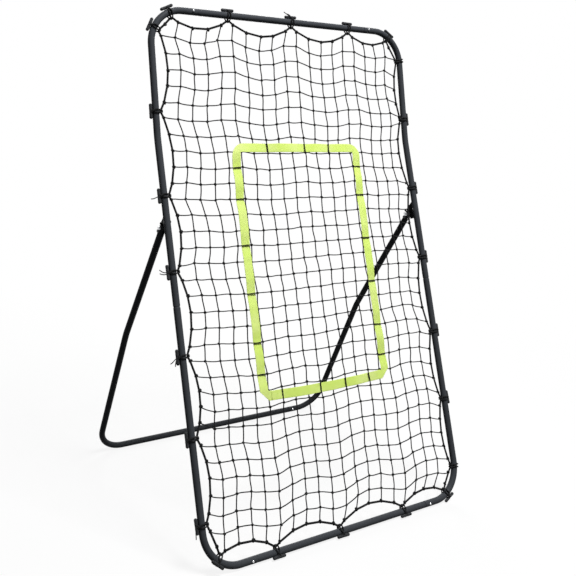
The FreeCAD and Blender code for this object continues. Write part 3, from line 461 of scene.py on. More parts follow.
# Toggle places: (across, height, outward across, outward height, swing round the tube to the front)
LEFT_HOLDS = (0.138, 0.384, 0.625, 0.878, 1.112, 1.376)
RIGHT_HOLDS = (0.338, 0.581, 0.853, 1.112, 1.374)
TOP_HOLDS = (-0.234, 0.022, 0.275)
BOTTOM_HOLDS = (-0.275, -0.024, 0.250)
BOTTOM_SWING, LOW_CORNER_SWING, HIDDEN_SWING = np.radians((52, 20, -60))


def corner_hold(side, vertical, angle, swing=0.0):
    """A loop's place on a corner bend, by its angle from the bend's crossbar end."""
    outward = (side * math.sin(math.radians(angle)), vertical * math.cos(math.radians(angle)))
    middle = FRAME_H - CORNER_R if vertical > 0 else CORNER_R
    across = side * (FRAME_HALF_W - CORNER_R) + CORNER_R * outward[0]
    return (across, middle + CORNER_R * outward[1], *outward, swing)


# Clockwise from the bottom left, as the rope runs
holds = [(-FRAME_HALF_W, height, -1.0, 0.0, 0.0) for height in LEFT_HOLDS]
holds += [corner_hold(-1, 1, 62), corner_hold(-1, 1, 24)]
holds += [(x, FRAME_H, 0.0, 1.0, 0.0) for x in TOP_HOLDS]
holds += [corner_hold(1, 1, 33), corner_hold(1, 1, 85, HIDDEN_SWING)]
holds += [(FRAME_HALF_W, height, 1.0, 0.0, 0.0) for height in reversed(RIGHT_HOLDS)]
holds += [corner_hold(1, -1, 82, HIDDEN_SWING), corner_hold(1, -1, 28, LOW_CORNER_SWING)]
holds += [(x, 0.0, 0.0, -1.0, BOTTOM_SWING) for x in reversed(BOTTOM_HOLDS)]
holds += [corner_hold(-1, -1, 42, BOTTOM_SWING)]
holds = np.array(holds)

# The net's knots on each run of rope, as shares of the run, and the depth of the scallops. A full
# run has five; the runs into the corners have four, and the corners' own runs one or two.
SCALLOP = {"left": 0.028, "top": 0.042, "right": 0.023, "bottom": 0.037}
SCALLOP_RUN = 0.254
SCALLOP_POWER = 1.4
run_knots = [
    # up the left side
    [0.10, 0.30, 0.50, 0.70, 0.90], [0.17, 0.36, 0.55, 0.74, 0.93], [0.10, 0.30, 0.50, 0.70, 0.893],
    [0.077, 0.30, 0.52, 0.74, 0.952], [0.15, 0.345, 0.54, 0.736, 0.934], [0.12, 0.33, 0.52, 0.73, 0.94],
    # the top left corner, and along the top
    [0.5], [0.11, 0.35, 0.62, 0.87], [0.07, 0.27, 0.50, 0.69, 0.905], [0.087, 0.29, 0.51, 0.71, 0.90],
    [0.12, 0.39, 0.655, 0.925],
    # the top right corner, and down the right side
    [0.3, 0.93], [0.262, 0.494, 0.73, 0.95], [0.06, 0.28, 0.49, 0.70, 0.92], [0.096, 0.306, 0.50, 0.70, 0.893],
    [0.08, 0.284, 0.48, 0.675, 0.869], [0.047, 0.26, 0.48, 0.69, 0.904], [0.11, 0.30, 0.50, 0.70, 0.90],
    # the bottom right corner, and back along the bottom
    [0.3, 0.78], [0.21, 0.45, 0.675, 0.93], [0.121, 0.322, 0.52, 0.72, 0.924], [0.09, 0.30, 0.51, 0.72, 0.94],
    [0.173, 0.41, 0.673, 0.915],
    # the bottom left corner
    [0.25, 0.75],
]
run_sides = ["left"] * 6 + ["corner"] + ["top"] * 4 + ["corner"]
run_sides += ["right"] * 6 + ["corner"] + ["bottom"] * 4 + ["corner"]


def scallop(start, end, share, side):
    """A point on a run of rope: the straight line between two loops, drawn inwards as a parabola.

    The parabola's depth grows with the run's length to the power SCALLOP_POWER.
    """
    chord = end - start
    length = np.linalg.norm(chord)
    inward = np.array([chord[1], -chord[0]]) / length
    depth = SCALLOP.get(side, 0.0) * (length / SCALLOP_RUN) ** SCALLOP_POWER
    share = np.asarray(share)[..., None]
    return start + chord * share + inward * depth * 4 * share * (1 - share)


def lengths_along(line):
    """The length of a line up to each of its points."""
    return np.concatenate([[0], np.cumsum(np.linalg.norm(np.diff(line, axis=0), axis=1))])


def at_lengths(line, travel):
    """The points of a flat line at these lengths along it."""
    reached = lengths_along(line)
    return np.column_stack([np.interp(travel, reached, line[:, axis]) for axis in (0, 1)])


def eased(line, rounds):
    """A closed line smoothed: each round averages a point with its neighbours, by 1, 2 and 1."""
    for _ in range(rounds):
        line = (np.roll(line, 1, axis=0) + 2 * line + np.roll(line, -1, axis=0)) / 4
    return line


# The rope runs straight from knot to knot, because the net pulls on it only there, and its turns
# are eased by averaging neighbouring points. Each loop holds it straight for a few millimetres.
HOLD_HALF = 0.004
ROPE_STEP = 0.0022
ROPE_EASE = 5
hold_points = holds[:, :2] - holds[:, 2:4] * ROPE_IN
hold_along = np.stack([holds[:, 3], -holds[:, 2]], axis=1)
border_knots = []
rope_corners = []
for index, side in enumerate(run_sides):
    start, end = hold_points[index], hold_points[(index + 1) % len(holds)]
    border_knots.append(scallop(start, end, run_knots[index], side))
    held_half = hold_along[index] * HOLD_HALF
    rope_corners += [start - held_half, start + held_half, *border_knots[-1]]
rope_corners = np.array(rope_corners + rope_corners[:1])
rope_total = lengths_along(rope_corners)[-1]
travel = np.linspace(0, rope_total, int(rope_total / ROPE_STEP), endpoint=False)
rope_flat = eased(at_lengths(rope_corners, travel), ROPE_EASE)


def unit(vectors):
    """Vectors divided by their lengths."""
    return vectors / np.linalg.norm(vectors, axis=-1, keepdims=True)


def ring_turns(sides):
    """Angles of this many equal steps once round."""
    return np.arange(sides) * (2 * math.pi / sides)


def sweep(path, radius, sides, sideways, closed=False):
    """A round bar along each path: rings of points at the radius round each path point.

    A ring's first axis is the sideways direction made square to the path, and its second is square
    to both. Paths are (..., points, 3); the result adds a ring axis.
    """
    if closed:
        along = unit(np.roll(path, -1, axis=-2) - np.roll(path, 1, axis=-2))
    else:
        along = unit(np.gradient(path, axis=-2))
    first = unit(sideways - (sideways * along).sum(-1, keepdims=True) * along)
    second = np.cross(along, first)
    turn = ring_turns(sides)[:, None]
    ring = first[..., None, :] * np.cos(turn) + second[..., None, :] * np.sin(turn)
    return path[..., None, :] + ring * radius


def surface(name, grids, material, closed_rows=False):
    """One mesh from grids of points (copies, rows, ring, 3), whose rings are closed.

    Rows join into a tube, which is closed on itself or capped at both ends. UV runs once round each
    ring and in metres along the rows.
    """
    grids = np.asarray(grids, float)
    if grids.ndim == 3:
        grids = grids[None]
    copies, rows, ring, _ = grids.shape
    spans = rows if closed_rows else rows - 1
    index = np.arange(copies * rows * ring).reshape(copies, rows, ring)
    near, far = index[:, :spans], np.roll(index, -1, axis=1)[:, :spans]
    quads = np.stack([near, np.roll(near, -1, axis=2), np.roll(far, -1, axis=2), far], axis=-1)
    caps = np.concatenate([index[:, 0, ::-1], index[:, -1]])[:0 if closed_rows else None]
    corners = np.concatenate([quads.ravel(), caps.ravel()])
    sizes = np.repeat([4, ring], [quads.size // 4, len(caps)])
    mesh = bpy.data.meshes.new(name)
    mesh.vertices.add(grids.size // 3)
    mesh.vertices.foreach_set("co", grids.ravel())
    mesh.loops.add(len(corners))
    mesh.loops.foreach_set("vertex_index", corners)
    mesh.polygons.add(len(sizes))
    mesh.polygons.foreach_set("loop_start", np.cumsum(sizes) - sizes)
    mesh.polygons.foreach_set("use_smooth", np.ones(len(sizes), bool))
    middles = grids.mean(axis=2)
    steps = np.linalg.norm(np.diff(middles, axis=1, append=middles[:, :1]), axis=-1)
    length = np.concatenate([np.zeros((copies, 1)), np.cumsum(steps, axis=1)], axis=1)
    uv = np.zeros((len(corners), 2))
    quad_uv = uv[:quads.size].reshape(copies, spans, ring, 4, 2)
    quad_uv[..., 0] = (np.arange(ring)[:, None] + [0, 1, 1, 0]) / ring
    quad_uv[..., :2, 1] = length[:, :spans, None, None]
    quad_uv[..., 2:, 1] = length[:, 1:spans + 1, None, None]
    mesh.uv_layers.new(name="lay").data.foreach_set("uv", uv.ravel())
    mesh.update(calc_edges=True)
    mesh.validate()
    mesh.materials.append(material)
    made = bpy.data.objects.new(name, mesh)
    scene.collection.objects.link(made)
    return made


def bars(name, paths, radius, sides, sideways, material, closed=False):
    """One mesh of round bars along paths."""
    return surface(name, sweep(paths, radius, sides, sideways, closed), material, closed)


# Group "lay": the slanting strands of a twisted or braided cord, from its UV map. Two crossing
# stripe sets give a braid and one gives a twist.
cord_lay, given, result = new_group(
    "cord_lay",
    {"Turns Per Metre": 160.0, "Strands": 4.0, "Braid": 0.0},
    {"Height": "Float"},
)
split = node(cord_lay, "SeparateXYZ", node(cord_lay, "UVMap")[0])
lengthways = maths(cord_lay, "MULTIPLY", split["Y"], given["Turns Per Metre"])
roundways = maths(cord_lay, "MULTIPLY", split["X"], given["Strands"])
twist, counter_twist = (
    wave(cord_lay, maths(cord_lay, way, lengthways, roundways)) for way in ("ADD", "SUBTRACT")
)
crossed = maths(cord_lay, "MAXIMUM", twist, counter_twist)
choice = blend(cord_lay, given["Braid"], twist, crossed, "FLOAT")
feed(cord_lay, result["Height"], rescale(cord_lay, choice, -1.0, 1.0))


def cord_material(name, roughness, turns, strands, braid, depth, sheen=0.02,
                  dark=(0.002, 0.002, 0.0022, 1), pale=(0.009, 0.0093, 0.01, 1)):
    """A fibre cord: the lay group's strands raise a bump and give painted shade, darker between them."""
    material, tree, shader = new_material(name, Sheen_Weight=sheen, Sheen_Roughness=0.5,
                                          Roughness=roughness, Specular_IOR_Level=0.1)
    lay = group_node(tree, cord_lay, Turns_Per_Metre=turns, Strands=strands, Braid=braid)["Height"]
    fibres = group_node(tree, fine_grain, Grain_Scale=1600.0, Broad_Scale=45.0)["Height"]
    # Painted shade: the colour runs from dark in the grooves between strands to pale on their crowns.
    feed(tree, shader["Base Color"], dusty_blend(
        tree, lay, dark, pale, Dust_Color=(0.12, 0.125, 0.13, 1), Film=0.015, Specks=0.08, Speck_Scale=700.0))
    total = maths(tree, "MULTIPLY_ADD", fibres, 0.25, lay)
    feed(tree, shader["Normal"], bump_normal(tree, total, depth))
    return material


REARWARD = np.array([0.0, math.cos(LEAN), -math.sin(LEAN)])
rope_path = on_frame(in_plane(rope_flat))
rope_black = cord_material("rope_black", roughness=0.7, turns=130.0, strands=2.0, braid=1.0, depth=0.0005)
border_rope = bars("border_rope_braid", rope_path, ROPE_R, ROPE_SIDES, REARWARD, rope_black, closed=True)
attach(border_rope, "frame")
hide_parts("border_rope")


# Net: black knotted twine, 19 by 32 meshes of about 50 mm. Its outer knots are bound to the border
# rope, and the others lie where the twine's pull balances, so the scallops fade into the net.

COLUMNS, ROWS = 20, 33
TWINE_R = 0.0019
TWINE_SIDES = 6
TWINE_STEPS = 8
SHEAR_SHARE = 0.011
NET_SAG = 0.006
STRAND_SAG = (0.0, 0.0014)
EDGE_SAG = 0.0008
RIGHT_EDGE_SHARE = 0.4
KNOT_WANDER = 0.0009
STRAND_WANDER = 0.0006
KNOT_SIZE = (0.0050, 0.0043, 0.0039)
KNOT_SIDES, KNOT_ROWS = 9, 7
random = np.random.default_rng(11)

# Border knots clockwise from the bottom left corner, and their numbers among all the knots
ring_knots = np.roll(np.concatenate(border_knots), 2, axis=0)
number = np.arange(ROWS * COLUMNS).reshape(ROWS, COLUMNS)
held = np.concatenate([number[:0:-1, 0], number[0, :-1], number[:-1, -1], number[-1, :0:-1]])
free = np.setdiff1d(number, held)


def balanced(border, pull_across, pull_up):
    """Inner knots' values where the pulls of the four strands at each knot cancel out.

    Each strand pulls as a spring: across the net with one stiffness, up it with the other.
    """
    pulls = np.zeros((number.size, number.size))
    for near, far, stiffness in (
        (number[:, :-1], number[:, 1:], pull_across), (number[:-1], number[1:], pull_up),
    ):
        for one, other in ((near.ravel(), far.ravel()), (far.ravel(), near.ravel())):
            pulls[one, other] -= stiffness
            pulls[one, one] += stiffness
    values = np.zeros(number.size)
    values[held] = border
    values[free] = np.linalg.solve(pulls[np.ix_(free, free)], -pulls[np.ix_(free, held)] @ border)
    return values.reshape(ROWS, COLUMNS)


STIFFNESS = ((1.0, SHEAR_SHARE), (1.0, 1.0), (SHEAR_SHARE, 1.0))
border_bent = bent(in_plane(ring_knots))
knots = np.stack([balanced(border, *pulls) for border, pulls in zip(border_bent.T, STIFFNESS)], axis=-1)
row_share = np.linspace(0, 1, ROWS)[:, None]
column_share = np.linspace(0, 1, COLUMNS)[None, :]
knots[..., 1] += NET_SAG * np.sin(math.pi * row_share) * np.sin(math.pi * column_share)

# The net hangs slack, about 10 mm lower in its middle and 5 mm to the right, by a polynomial of
# the row's and column's places (-1 to 1) that fades to nothing at the border. Terms: 1, column,
# row, column x row, column^2, row^2, row^3 and column x row^2, in millimetres.
DRIFT_RIGHT = (5.74, 5.82, 0.79, -2.95, -1.24, -12.53, -13.37, 21.7)
DRIFT_DOWN = (9.57, -0.54, 1.7, 2.02, 2.65, 6.26, 11.42, 9.36)
r, c = np.broadcast_arrays(2 * row_share - 1, 2 * column_share - 1)
terms = np.stack([np.ones(r.shape), c, r, c * r, c ** 2, r ** 2, r ** 3, c * r ** 2], axis=-1)
terms = terms * ((1 - c ** 4) * (1 - r ** 4))[..., None] / 1000
knots[..., 0] += terms @ DRIFT_RIGHT
knots[..., 2] -= terms @ DRIFT_DOWN
inner = np.s_[1:-1, 1:-1]
knots[inner] += random.normal(0, KNOT_WANDER, knots[inner].shape)

# The strike zone's webbing: its outer and inner edges (left, right, foot, top), and the rows and
# columns of knots that its bands run beside. Those beside its inner edge are drawn up to it.
WEBBING_OUTER = (-0.2634, 0.2752, 0.4486, 1.2756)
WEBBING_INNER = (-0.2314, 0.2432, 0.4790, 1.2466)
LEFT_COLUMN, RIGHT_COLUMN = 5, 14
TOP_ROW, FOOT_ROW = 8, 24
SIDE_ROWS, BAND_COLUMNS = slice(9, 24), slice(5, 15)
BESIDE_EDGE = 0.0031
DRAWN_SHARE = 0.75
for drawn, axis, edge in (
    (np.s_[SIDE_ROWS, LEFT_COLUMN], 0, WEBBING_INNER[0] + BESIDE_EDGE),
    (np.s_[SIDE_ROWS, RIGHT_COLUMN], 0, WEBBING_INNER[1] - BESIDE_EDGE),
    (np.s_[TOP_ROW, LEFT_COLUMN + 1:RIGHT_COLUMN], 2, WEBBING_INNER[3] - BESIDE_EDGE),
):
    knots[drawn][..., axis] += DRAWN_SHARE * (edge - knots[drawn][..., axis])

# The webbing lies before the net, and behind it at these rows and columns of knots. It presses the
# knots that lie against it the other way, and those beside it by less.
UNDER_ROWS = (9, 11, 14, 17, 20, 22)
UNDER_COLUMNS_TOP = (7, 10, 12)
UNDER_COLUMNS_FOOT = (6, 9, 11, 13)
PRESS_AGAINST, PRESS_BESIDE = 0.0032, 0.0014


def ways(count, under):
    """The way each knot of a row or column is pressed: 1 is back, -1 forwards over the webbing."""
    return np.where(np.isin(np.arange(count), under), -1, 1)


smooth_depth = knots[..., 1].copy()
for column, press in (
    (LEFT_COLUMN - 1, PRESS_BESIDE), (LEFT_COLUMN, PRESS_AGAINST),
    (RIGHT_COLUMN, PRESS_BESIDE), (RIGHT_COLUMN + 1, PRESS_BESIDE),
):
    knots[SIDE_ROWS, column, 1] += press * ways(ROWS, UNDER_ROWS)[SIDE_ROWS]
for row, under, press in (
    (TOP_ROW - 1, UNDER_COLUMNS_TOP, PRESS_BESIDE), (TOP_ROW, UNDER_COLUMNS_TOP, PRESS_AGAINST),
    (FOOT_ROW - 1, UNDER_COLUMNS_FOOT, PRESS_BESIDE), (FOOT_ROW, UNDER_COLUMNS_FOOT, PRESS_AGAINST),
):
    knots[row, BAND_COLUMNS, 1] += press * ways(COLUMNS, under)[BAND_COLUMNS]


def strands(start, end, sag, wander, side_wander):
    """Bowed strands between knots: a straight line plus a parabola of sag and an S of wander."""
    share = np.linspace(0, 1, TWINE_STEPS)[:, None]
    bow = 4 * share * (1 - share)
    swerve = 8 * share * (1 - share) * (1 - 2 * share)
    line = start[:, None] + (end - start)[:, None] * share
    return line + bow * sag[:, None] + swerve * wander[:, None] + bow * side_wander[:, None]


level_start, level_end = knots[1:-1, :-1].reshape(-1, 3), knots[1:-1, 1:].reshape(-1, 3)
upright_start, upright_end = knots[:-1, 1:-1].reshape(-1, 3), knots[1:, 1:-1].reshape(-1, 3)
level_sag = random.uniform(*STRAND_SAG, (ROWS - 2, COLUMNS - 1))
level_sag[:, 0] += EDGE_SAG
level_sag[:, -1] += EDGE_SAG * RIGHT_EDGE_SHARE
level_paths = strands(
    level_start, level_end, level_sag.ravel()[:, None] * [0, 0, -1],
    random.normal(0, STRAND_WANDER, level_start.shape), random.normal(0, STRAND_WANDER, level_start.shape),
)
upright_paths = strands(
    upright_start, upright_end, random.normal(0, STRAND_WANDER, upright_start.shape) * [1.4, 1, 0],
    random.normal(0, STRAND_WANDER, upright_start.shape) * [1, 1, 0], 0 * upright_start,
)
twine_paths = leaning(np.concatenate([level_paths, upright_paths]))
twine_black = cord_material("twine_black", roughness=0.65, turns=260.0, strands=2.0, braid=0.0, depth=0.0003)
net_twine = bars("net_twine", twine_paths, TWINE_R, TWINE_SIDES, REARWARD, twine_black)

KNOT_POLE = 0.12
LOBE_SWELL = 0.16
KNOT_TILT = 0.7
BINDING_SIZE = (0.0056, 0.0054, 0.0046)
BINDING_IN = 0.0030
knot_middles = leaning(knots[inner].reshape(-1, 3))
polar = np.linspace(math.pi - KNOT_POLE, KNOT_POLE, KNOT_ROWS)[:, None]
around = ring_turns(KNOT_SIDES)
ball = np.stack([
    np.sin(polar) * np.cos(around), np.sin(polar) * np.sin(around), np.cos(polar) * np.ones(KNOT_SIDES),
], axis=-1)


def lumpy_knots(middles, size):
    """Knots as balls flattened to three radii, with a two-lobed swelling, each turned its own way.

    A lump's radius is 1 + 0.16 sin(2 turn + 3 height) of the ball's, as crossing turns of twine swell.
    """
    count = len(middles)
    lobes = random.uniform(0, 2 * math.pi, (count, 1, 1))
    swell = 1 + LOBE_SWELL * np.sin(2 * around[None, None] + 3 * ball[None, ..., 2] + lobes)
    shape = ball[None] * swell[..., None] * (np.array(size) * random.uniform(0.85, 1.15, (count, 1, 1, 3)))
    tilt = random.uniform(-KNOT_TILT, KNOT_TILT, count)
    across = np.stack([np.cos(tilt), np.sin(tilt) * math.sin(LEAN), np.sin(tilt) * math.cos(LEAN)], axis=-1)
    rear = np.broadcast_to(REARWARD, across.shape)
    upward = np.cross(rear, across)
    turns = np.stack([across, upward, rear], axis=-1)
    return middles[:, None, None] + np.einsum("kij,krcj->krci", turns, shape)


net_knots = surface("net_knots", lumpy_knots(knot_middles, KNOT_SIZE), twine_black)

# Selvage: a cord laid along the border rope, with two close turns round it at each knot that bind
# the net's twine to the rope
SELVAGE_R = 0.0011
SELVAGE_SIDES = 6
SELVAGE_TURNS = 2
SELVAGE_WRAP = 0.0026
SELVAGE_SINK = 0.4
WRAP_STEPS = 30
OPEN_STEPS = 14
AHEAD = 0.001
rope_closed = np.vstack([rope_flat, rope_flat[:1]])
rope_length = lengths_along(rope_closed)
gaps = np.linalg.norm(ring_knots[:, None] - rope_flat[None], axis=-1)
starts = np.sort(rope_length[gaps.argmin(axis=1)]) - SELVAGE_WRAP
next_starts = np.append(starts[1:], starts[0] + rope_length[-1])
wrap_share = np.linspace(0, 1, WRAP_STEPS, endpoint=False)
open_share = np.linspace(0, 1, OPEN_STEPS, endpoint=False)
wrapped = starts[:, None] + 2 * SELVAGE_WRAP * wrap_share
opened = starts[:, None] + 2 * SELVAGE_WRAP + (next_starts - starts - 2 * SELVAGE_WRAP)[:, None] * open_share
travel = np.concatenate([wrapped, opened], axis=1).ravel() % rope_length[-1]
turn = np.concatenate([SELVAGE_TURNS * wrap_share, SELVAGE_TURNS + 0 * open_share]) * 2 * math.pi
turn = np.tile(turn, len(starts))
core = at_lengths(rope_closed, travel)
core_along = unit(at_lengths(rope_closed, (travel + AHEAD) % rope_length[-1]) - core)
core_side = np.column_stack([core_along[:, 1], -core_along[:, 0]])
lay_radius = ROPE_R + SELVAGE_R * (1 - SELVAGE_SINK)
beside_core = core + core_side * (np.cos(turn) * lay_radius)[:, None]
selvage_path = on_frame(np.column_stack([beside_core, np.sin(turn) * lay_radius]))
selvage_side = unit(selvage_path - on_frame(in_plane(core)))
selvage = bars("net_selvage", selvage_path, SELVAGE_R, SELVAGE_SIDES, selvage_side, twine_black, closed=True)

border_middles = on_frame(in_plane(ring_knots))
net_middle = leaning(knots[10:-10, 5:-5]).mean(axis=(0, 1))
binding_middles = border_middles + unit(net_middle - border_middles) * BINDING_IN
binding_knots = surface("net_binding_knots", lumpy_knots(binding_middles, BINDING_SIZE), twine_black)

for piece in (net_twine, net_knots, selvage, binding_knots):
    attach(piece, "frame")
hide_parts("net")


# Elastic loops: black 4.4 mm shock cord, knotted into a ring that goes twice round the rope, the
# tube and the toggle. The two turns cross in front, and some knots leave two short tails.

LOOP_R = 0.0022
LOOP_SIDES = 10
LOOP_GAP = 0.0002
LOOP_STEPS = 64
LOOP_EASE = 3
TOGGLE_OUT = 0.017
TOGGLE_R = 0.00525
TOGGLE_HOLE_R = 0.0008
LOOP_ROPE_R = 0.0034
OUTLINE_STEPS = 720
TAIL_R = 0.0015
TAIL_SIDES = 8

# The spread of a loop's turns along the tube, from the rope to the toggle, at these distances
# outwards; where they cross in front, and how far one rises over the other there
SPREAD_AT = (-0.021, -0.011, 0.0, 0.007, 0.017)
SPREAD = (0.0025, 0.0045, 0.0050, 0.0050, 0.0032)
CROSSING = (0.005, 0.0165)
RISE, RISE_AT, RISE_WIDTH = 0.0017, 0.0108, 0.0045


# Each hold's own axes in the room: the tube's centre, outwards, forwards and along the tube
hold_flat, hold_reach = in_plane(holds[:, :2]), in_plane(holds[:, 2:4]) * 1e-4
hold_bend = np.where(holds[:, 1] > TOP_BEND_HEIGHT, TOP_BEND, 0.0)
forward = np.stack([0 * hold_bend, -np.cos(hold_bend), -np.sin(hold_bend)], axis=-1)
hold_middle = on_frame(hold_flat)
hold_outward = unit(on_frame(hold_flat + hold_reach) - on_frame(hold_flat - hold_reach))
hold_forward = unit(leaning(forward) - leaning(0 * forward))
hold_tube = np.cross(hold_outward, hold_forward)


def loop_paths(swing):
    """One loop's line in its hold's axes: (along the tube, outwards, forwards), two turns of it.

    The outline is the convex one round three circles, for the rope, the tube and the toggle: in each
    direction the furthest circle gives the point. The spread along the tube eases with the distance
    outwards, and changes sign in front, between the tube and the toggle, where one turn rises over
    the other.
    """
    direction = np.linspace(0, 2 * math.pi, OUTLINE_STEPS, endpoint=False) + math.pi
    normal = np.stack([np.cos(direction), np.sin(direction)], axis=-1)
    middles = np.array([[-ROPE_IN, 0], [0, 0], [TOGGLE_OUT * math.cos(swing), TOGGLE_OUT * math.sin(swing)]])
    radii = np.array([LOOP_ROPE_R, TUBE_R, TOGGLE_HOLE_R]) + LOOP_GAP + LOOP_R
    furthest = (normal @ middles.T + radii).argmax(axis=1)
    outline = middles[furthest] + normal * radii[furthest][:, None]
    outline = np.vstack([outline, outline[:1]])
    travel = np.linspace(0, lengths_along(outline)[-1], LOOP_STEPS, endpoint=False)
    outward, forward = at_lengths(outline, travel).T
    ahead = outward * math.cos(swing) + forward * math.sin(swing)
    side = forward * math.cos(swing) - outward * math.sin(swing)
    spread = np.interp(ahead, SPREAD_AT, SPREAD)
    sign = np.where(side > 0, np.interp(ahead, CROSSING, (1.0, -1.0)), -1.0)
    rise = RISE * np.exp(-((ahead - RISE_AT) / RISE_WIDTH) ** 2) * (side > 0)
    turns = []
    for turn in (1, -1):
        lift = 1 + turn * rise / np.hypot(outward, forward)
        turns.append(np.column_stack([turn * sign * spread, outward * lift, forward * lift]))
    return eased(np.vstack(turns), LOOP_EASE)


def placed(local, chosen=slice(None)):
    """Points in the chosen holds' own axes (along the tube, outwards, forwards), one batch for each."""
    turns = np.stack([hold_tube, hold_outward, hold_forward], axis=-1)[chosen]
    flat = local.reshape(len(local), -1, 3)
    return (hold_middle[chosen][:, None] + np.einsum("kij,kpj->kpi", turns, flat)).reshape(local.shape)


loop_local = np.stack([loop_paths(swing) for swing in holds[:, 4]])
loop_lines = placed(loop_local)
loop_axis = np.broadcast_to(hold_tube[:, None], loop_lines.shape)
elastic = cord_material("elastic_black", roughness=0.6, turns=210.0, strands=3.0, braid=1.0, depth=0.0004,
                        pale=(0.010, 0.0104, 0.011, 1))
elastic_loops = bars("elastic_loops", loop_lines, LOOP_R, LOOP_SIDES, loop_axis, elastic, closed=True)

# The knots' free tails: a hold's number, and the four control points of a cubic Bezier curve in
# that hold's axes (along the tube, outwards, forwards), in millimetres
TAIL_ROWS = 16
TAILS = [
    (0, [(-4, 18, 3), (-14, 26, 4), (-24, 22, 4), (-34, 24, 3)]),
    (2, [(-2, 18, 3), (-4, 30, 5), (-12, 32, 4), (-16, 43, 2)]),
    (2, [(-4, 18, 0), (-10, 25, 2), (-18, 26, 2), (-26, 27, 1)]),
    (3, [(2, 18, 3), (-2, 28, 6), (0, 36, 6), (10, 46, 4)]),
    (3, [(-2, 18, 1), (-7, 27, 3), (-6, 36, 3), (-1, 45, 2)]),
    (4, [(-2, 18, 2), (-3, 29, 4), (-10, 36, 4), (-8, 46, 2)]),
    (9, [(-3, 16, 4), (-10, 22, 6), (-18, 24, 6), (-28, 33, 3)]),
    (9, [(2, 18, 2), (-4, 26, 3), (-12, 26, 4), (-18, 27, 4)]),
    (12, [(1, 17, -6), (2, 22, -10), (1, 25, -12), (-3, 29, -12)]),
]
tail_holds = np.array([number for number, _ in TAILS])
controls = np.array([points for _, points in TAILS]) / 1000
share = np.linspace(0, 1, TAIL_ROWS)[:, None]
weights = np.hstack([(1 - share) ** 3, 3 * share * (1 - share) ** 2, 3 * share ** 2 * (1 - share), share ** 3])
tail_local = np.einsum("rc,tcx->trx", weights, controls)
tail_forward = hold_forward[tail_holds][:, None]
elastic_tails = bars("elastic_tails", placed(tail_local, tail_holds), TAIL_R, TAIL_SIDES, tail_forward, elastic)
for piece in (elastic_loops, elastic_tails):
    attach(piece, "frame")
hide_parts("top_loops", "bottom_loops", "left_loops", "right_loops", "corner_loops")


# Toggles: moulded black plastic bars, one to each loop, that hold it outside the tube. Each has a
# shallow groove for the cord at its middle, domed ends and a fine parting line.

TOGGLE_L = 0.048
TOGGLE_SIDES, TOGGLE_ROWS = 24, 41
ROW_CROWDING = 1.15
END_CLOSE = 0.995
GROOVE, GROOVE_HALF, GROOVE_EDGE = 0.07, 0.0052, 0.0004
WAIST, WAIST_AT, WAIST_WIDTH = 0.05, 0.0125, 0.0035
RIDGE, RIDGE_WIDTH = 0.035, 0.05
TOGGLE_TILT = 0.035


def toggle_shape():
    """A bar's surface by length and turn, in its hold's axes.

    Its radius falls as a quarter circle at each end, by 0.35 mm over the middle 10 mm for the cord,
    and by 0.25 mm in a waist each side of that; the parting line is a ridge of 0.2 mm at two opposite
    turns.
    """
    turn = np.linspace(-math.pi / 2, math.pi / 2, TOGGLE_ROWS)
    along = np.sign(turn) * (TOGGLE_L / 2) * np.abs(np.sin(turn)) ** ROW_CROWDING
    dome = np.sqrt(1 - np.clip((np.abs(along) - (TOGGLE_L / 2 - TOGGLE_R)) / TOGGLE_R, 0, END_CLOSE) ** 2)
    groove = GROOVE / (1 + np.exp((np.abs(along) - GROOVE_HALF) / GROOVE_EDGE))
    waist = WAIST * np.exp(-((np.abs(along) - WAIST_AT) / WAIST_WIDTH) ** 2)
    around = ring_turns(TOGGLE_SIDES)
    ridge = 1 + RIDGE * (np.abs(np.sin(around)) < RIDGE_WIDTH)
    ring = (TOGGLE_R * dome * (1 - groove - waist))[:, None] * ridge[None]
    along = np.broadcast_to(along[:, None], ring.shape)
    return np.stack([along, ring * np.cos(around), ring * np.sin(around)], axis=-1)


def turned(first, second, angle):
    """Two coordinates turned by an angle in their plane."""
    return (first * math.cos(angle) - second * math.sin(angle),
            first * math.sin(angle) + second * math.cos(angle))


# Each bar stands at its swing round the tube, rolled, and with a small tilt of its own
bar_grids = []
for swing in holds[:, 4]:
    tilt = random.normal(0, TOGGLE_TILT)
    roll = random.uniform(0, math.pi)
    along, out, fore = np.moveaxis(toggle_shape(), -1, 0)
    out, fore = turned(out, fore, roll)
    along, fore = turned(along, fore, tilt)
    out, fore = out + TOGGLE_OUT * math.cos(swing), fore + TOGGLE_OUT * math.sin(swing)
    bar_grids.append(np.stack([along, out, fore], axis=-1))
moulded_black = powder_coat("moulded_black", dark=(0.028, 0.029, 0.031, 1), pale=(0.05, 0.052, 0.055, 1),
                            rough=(0.34, 0.46), peel_scale=1400.0, peel_depth=0.00005)
toggles = surface("toggle_bars", placed(np.stack(bar_grids)), moulded_black)
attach(toggles, "frame")
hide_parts("top_toggles", "bottom_toggles", "left_toggles", "right_toggles", "corner_toggles")


# Strike zone: a rectangle of 32 mm lime webbing, woven in and out of the net's strands, mitred at
# its lower corners and rounded at its upper ones, its ends sewn over each other on the lower side.

WEBBING_T = 0.0016
WEBBING_TOP_R, WEBBING_FOOT_CUT = 0.046, 0.032
WEBBING_INNER_R = 0.0012
LONG_STEPS, SHORT_STEPS, CORNER_STEPS = 240, 150, 14
WEBBING_RING = 30
FOOT_BOW, FOOT_BOW_TOP, FOOT_BOW_FADE = 0.0060, 0.53, 0.05
LIFT = 0.0017
EDGE_CLEAR, EDGE_GIVE, GIVE_START = TWINE_R + 0.0010, 0.0025, 0.6
ON_EDGE = 1e-6
UNDER_HALF = 0.048
STRIP_SQUARE, STRIP_FLAT = 0.7, 0.3
LIME = (0.75, 0.96, 0.195, 1)
LIME_PAINTED_LIGHT = (0.84, 0.98, 0.33, 1)
LIME_PAINTED_SHADE = (0.55, 0.83, 0.10, 1)


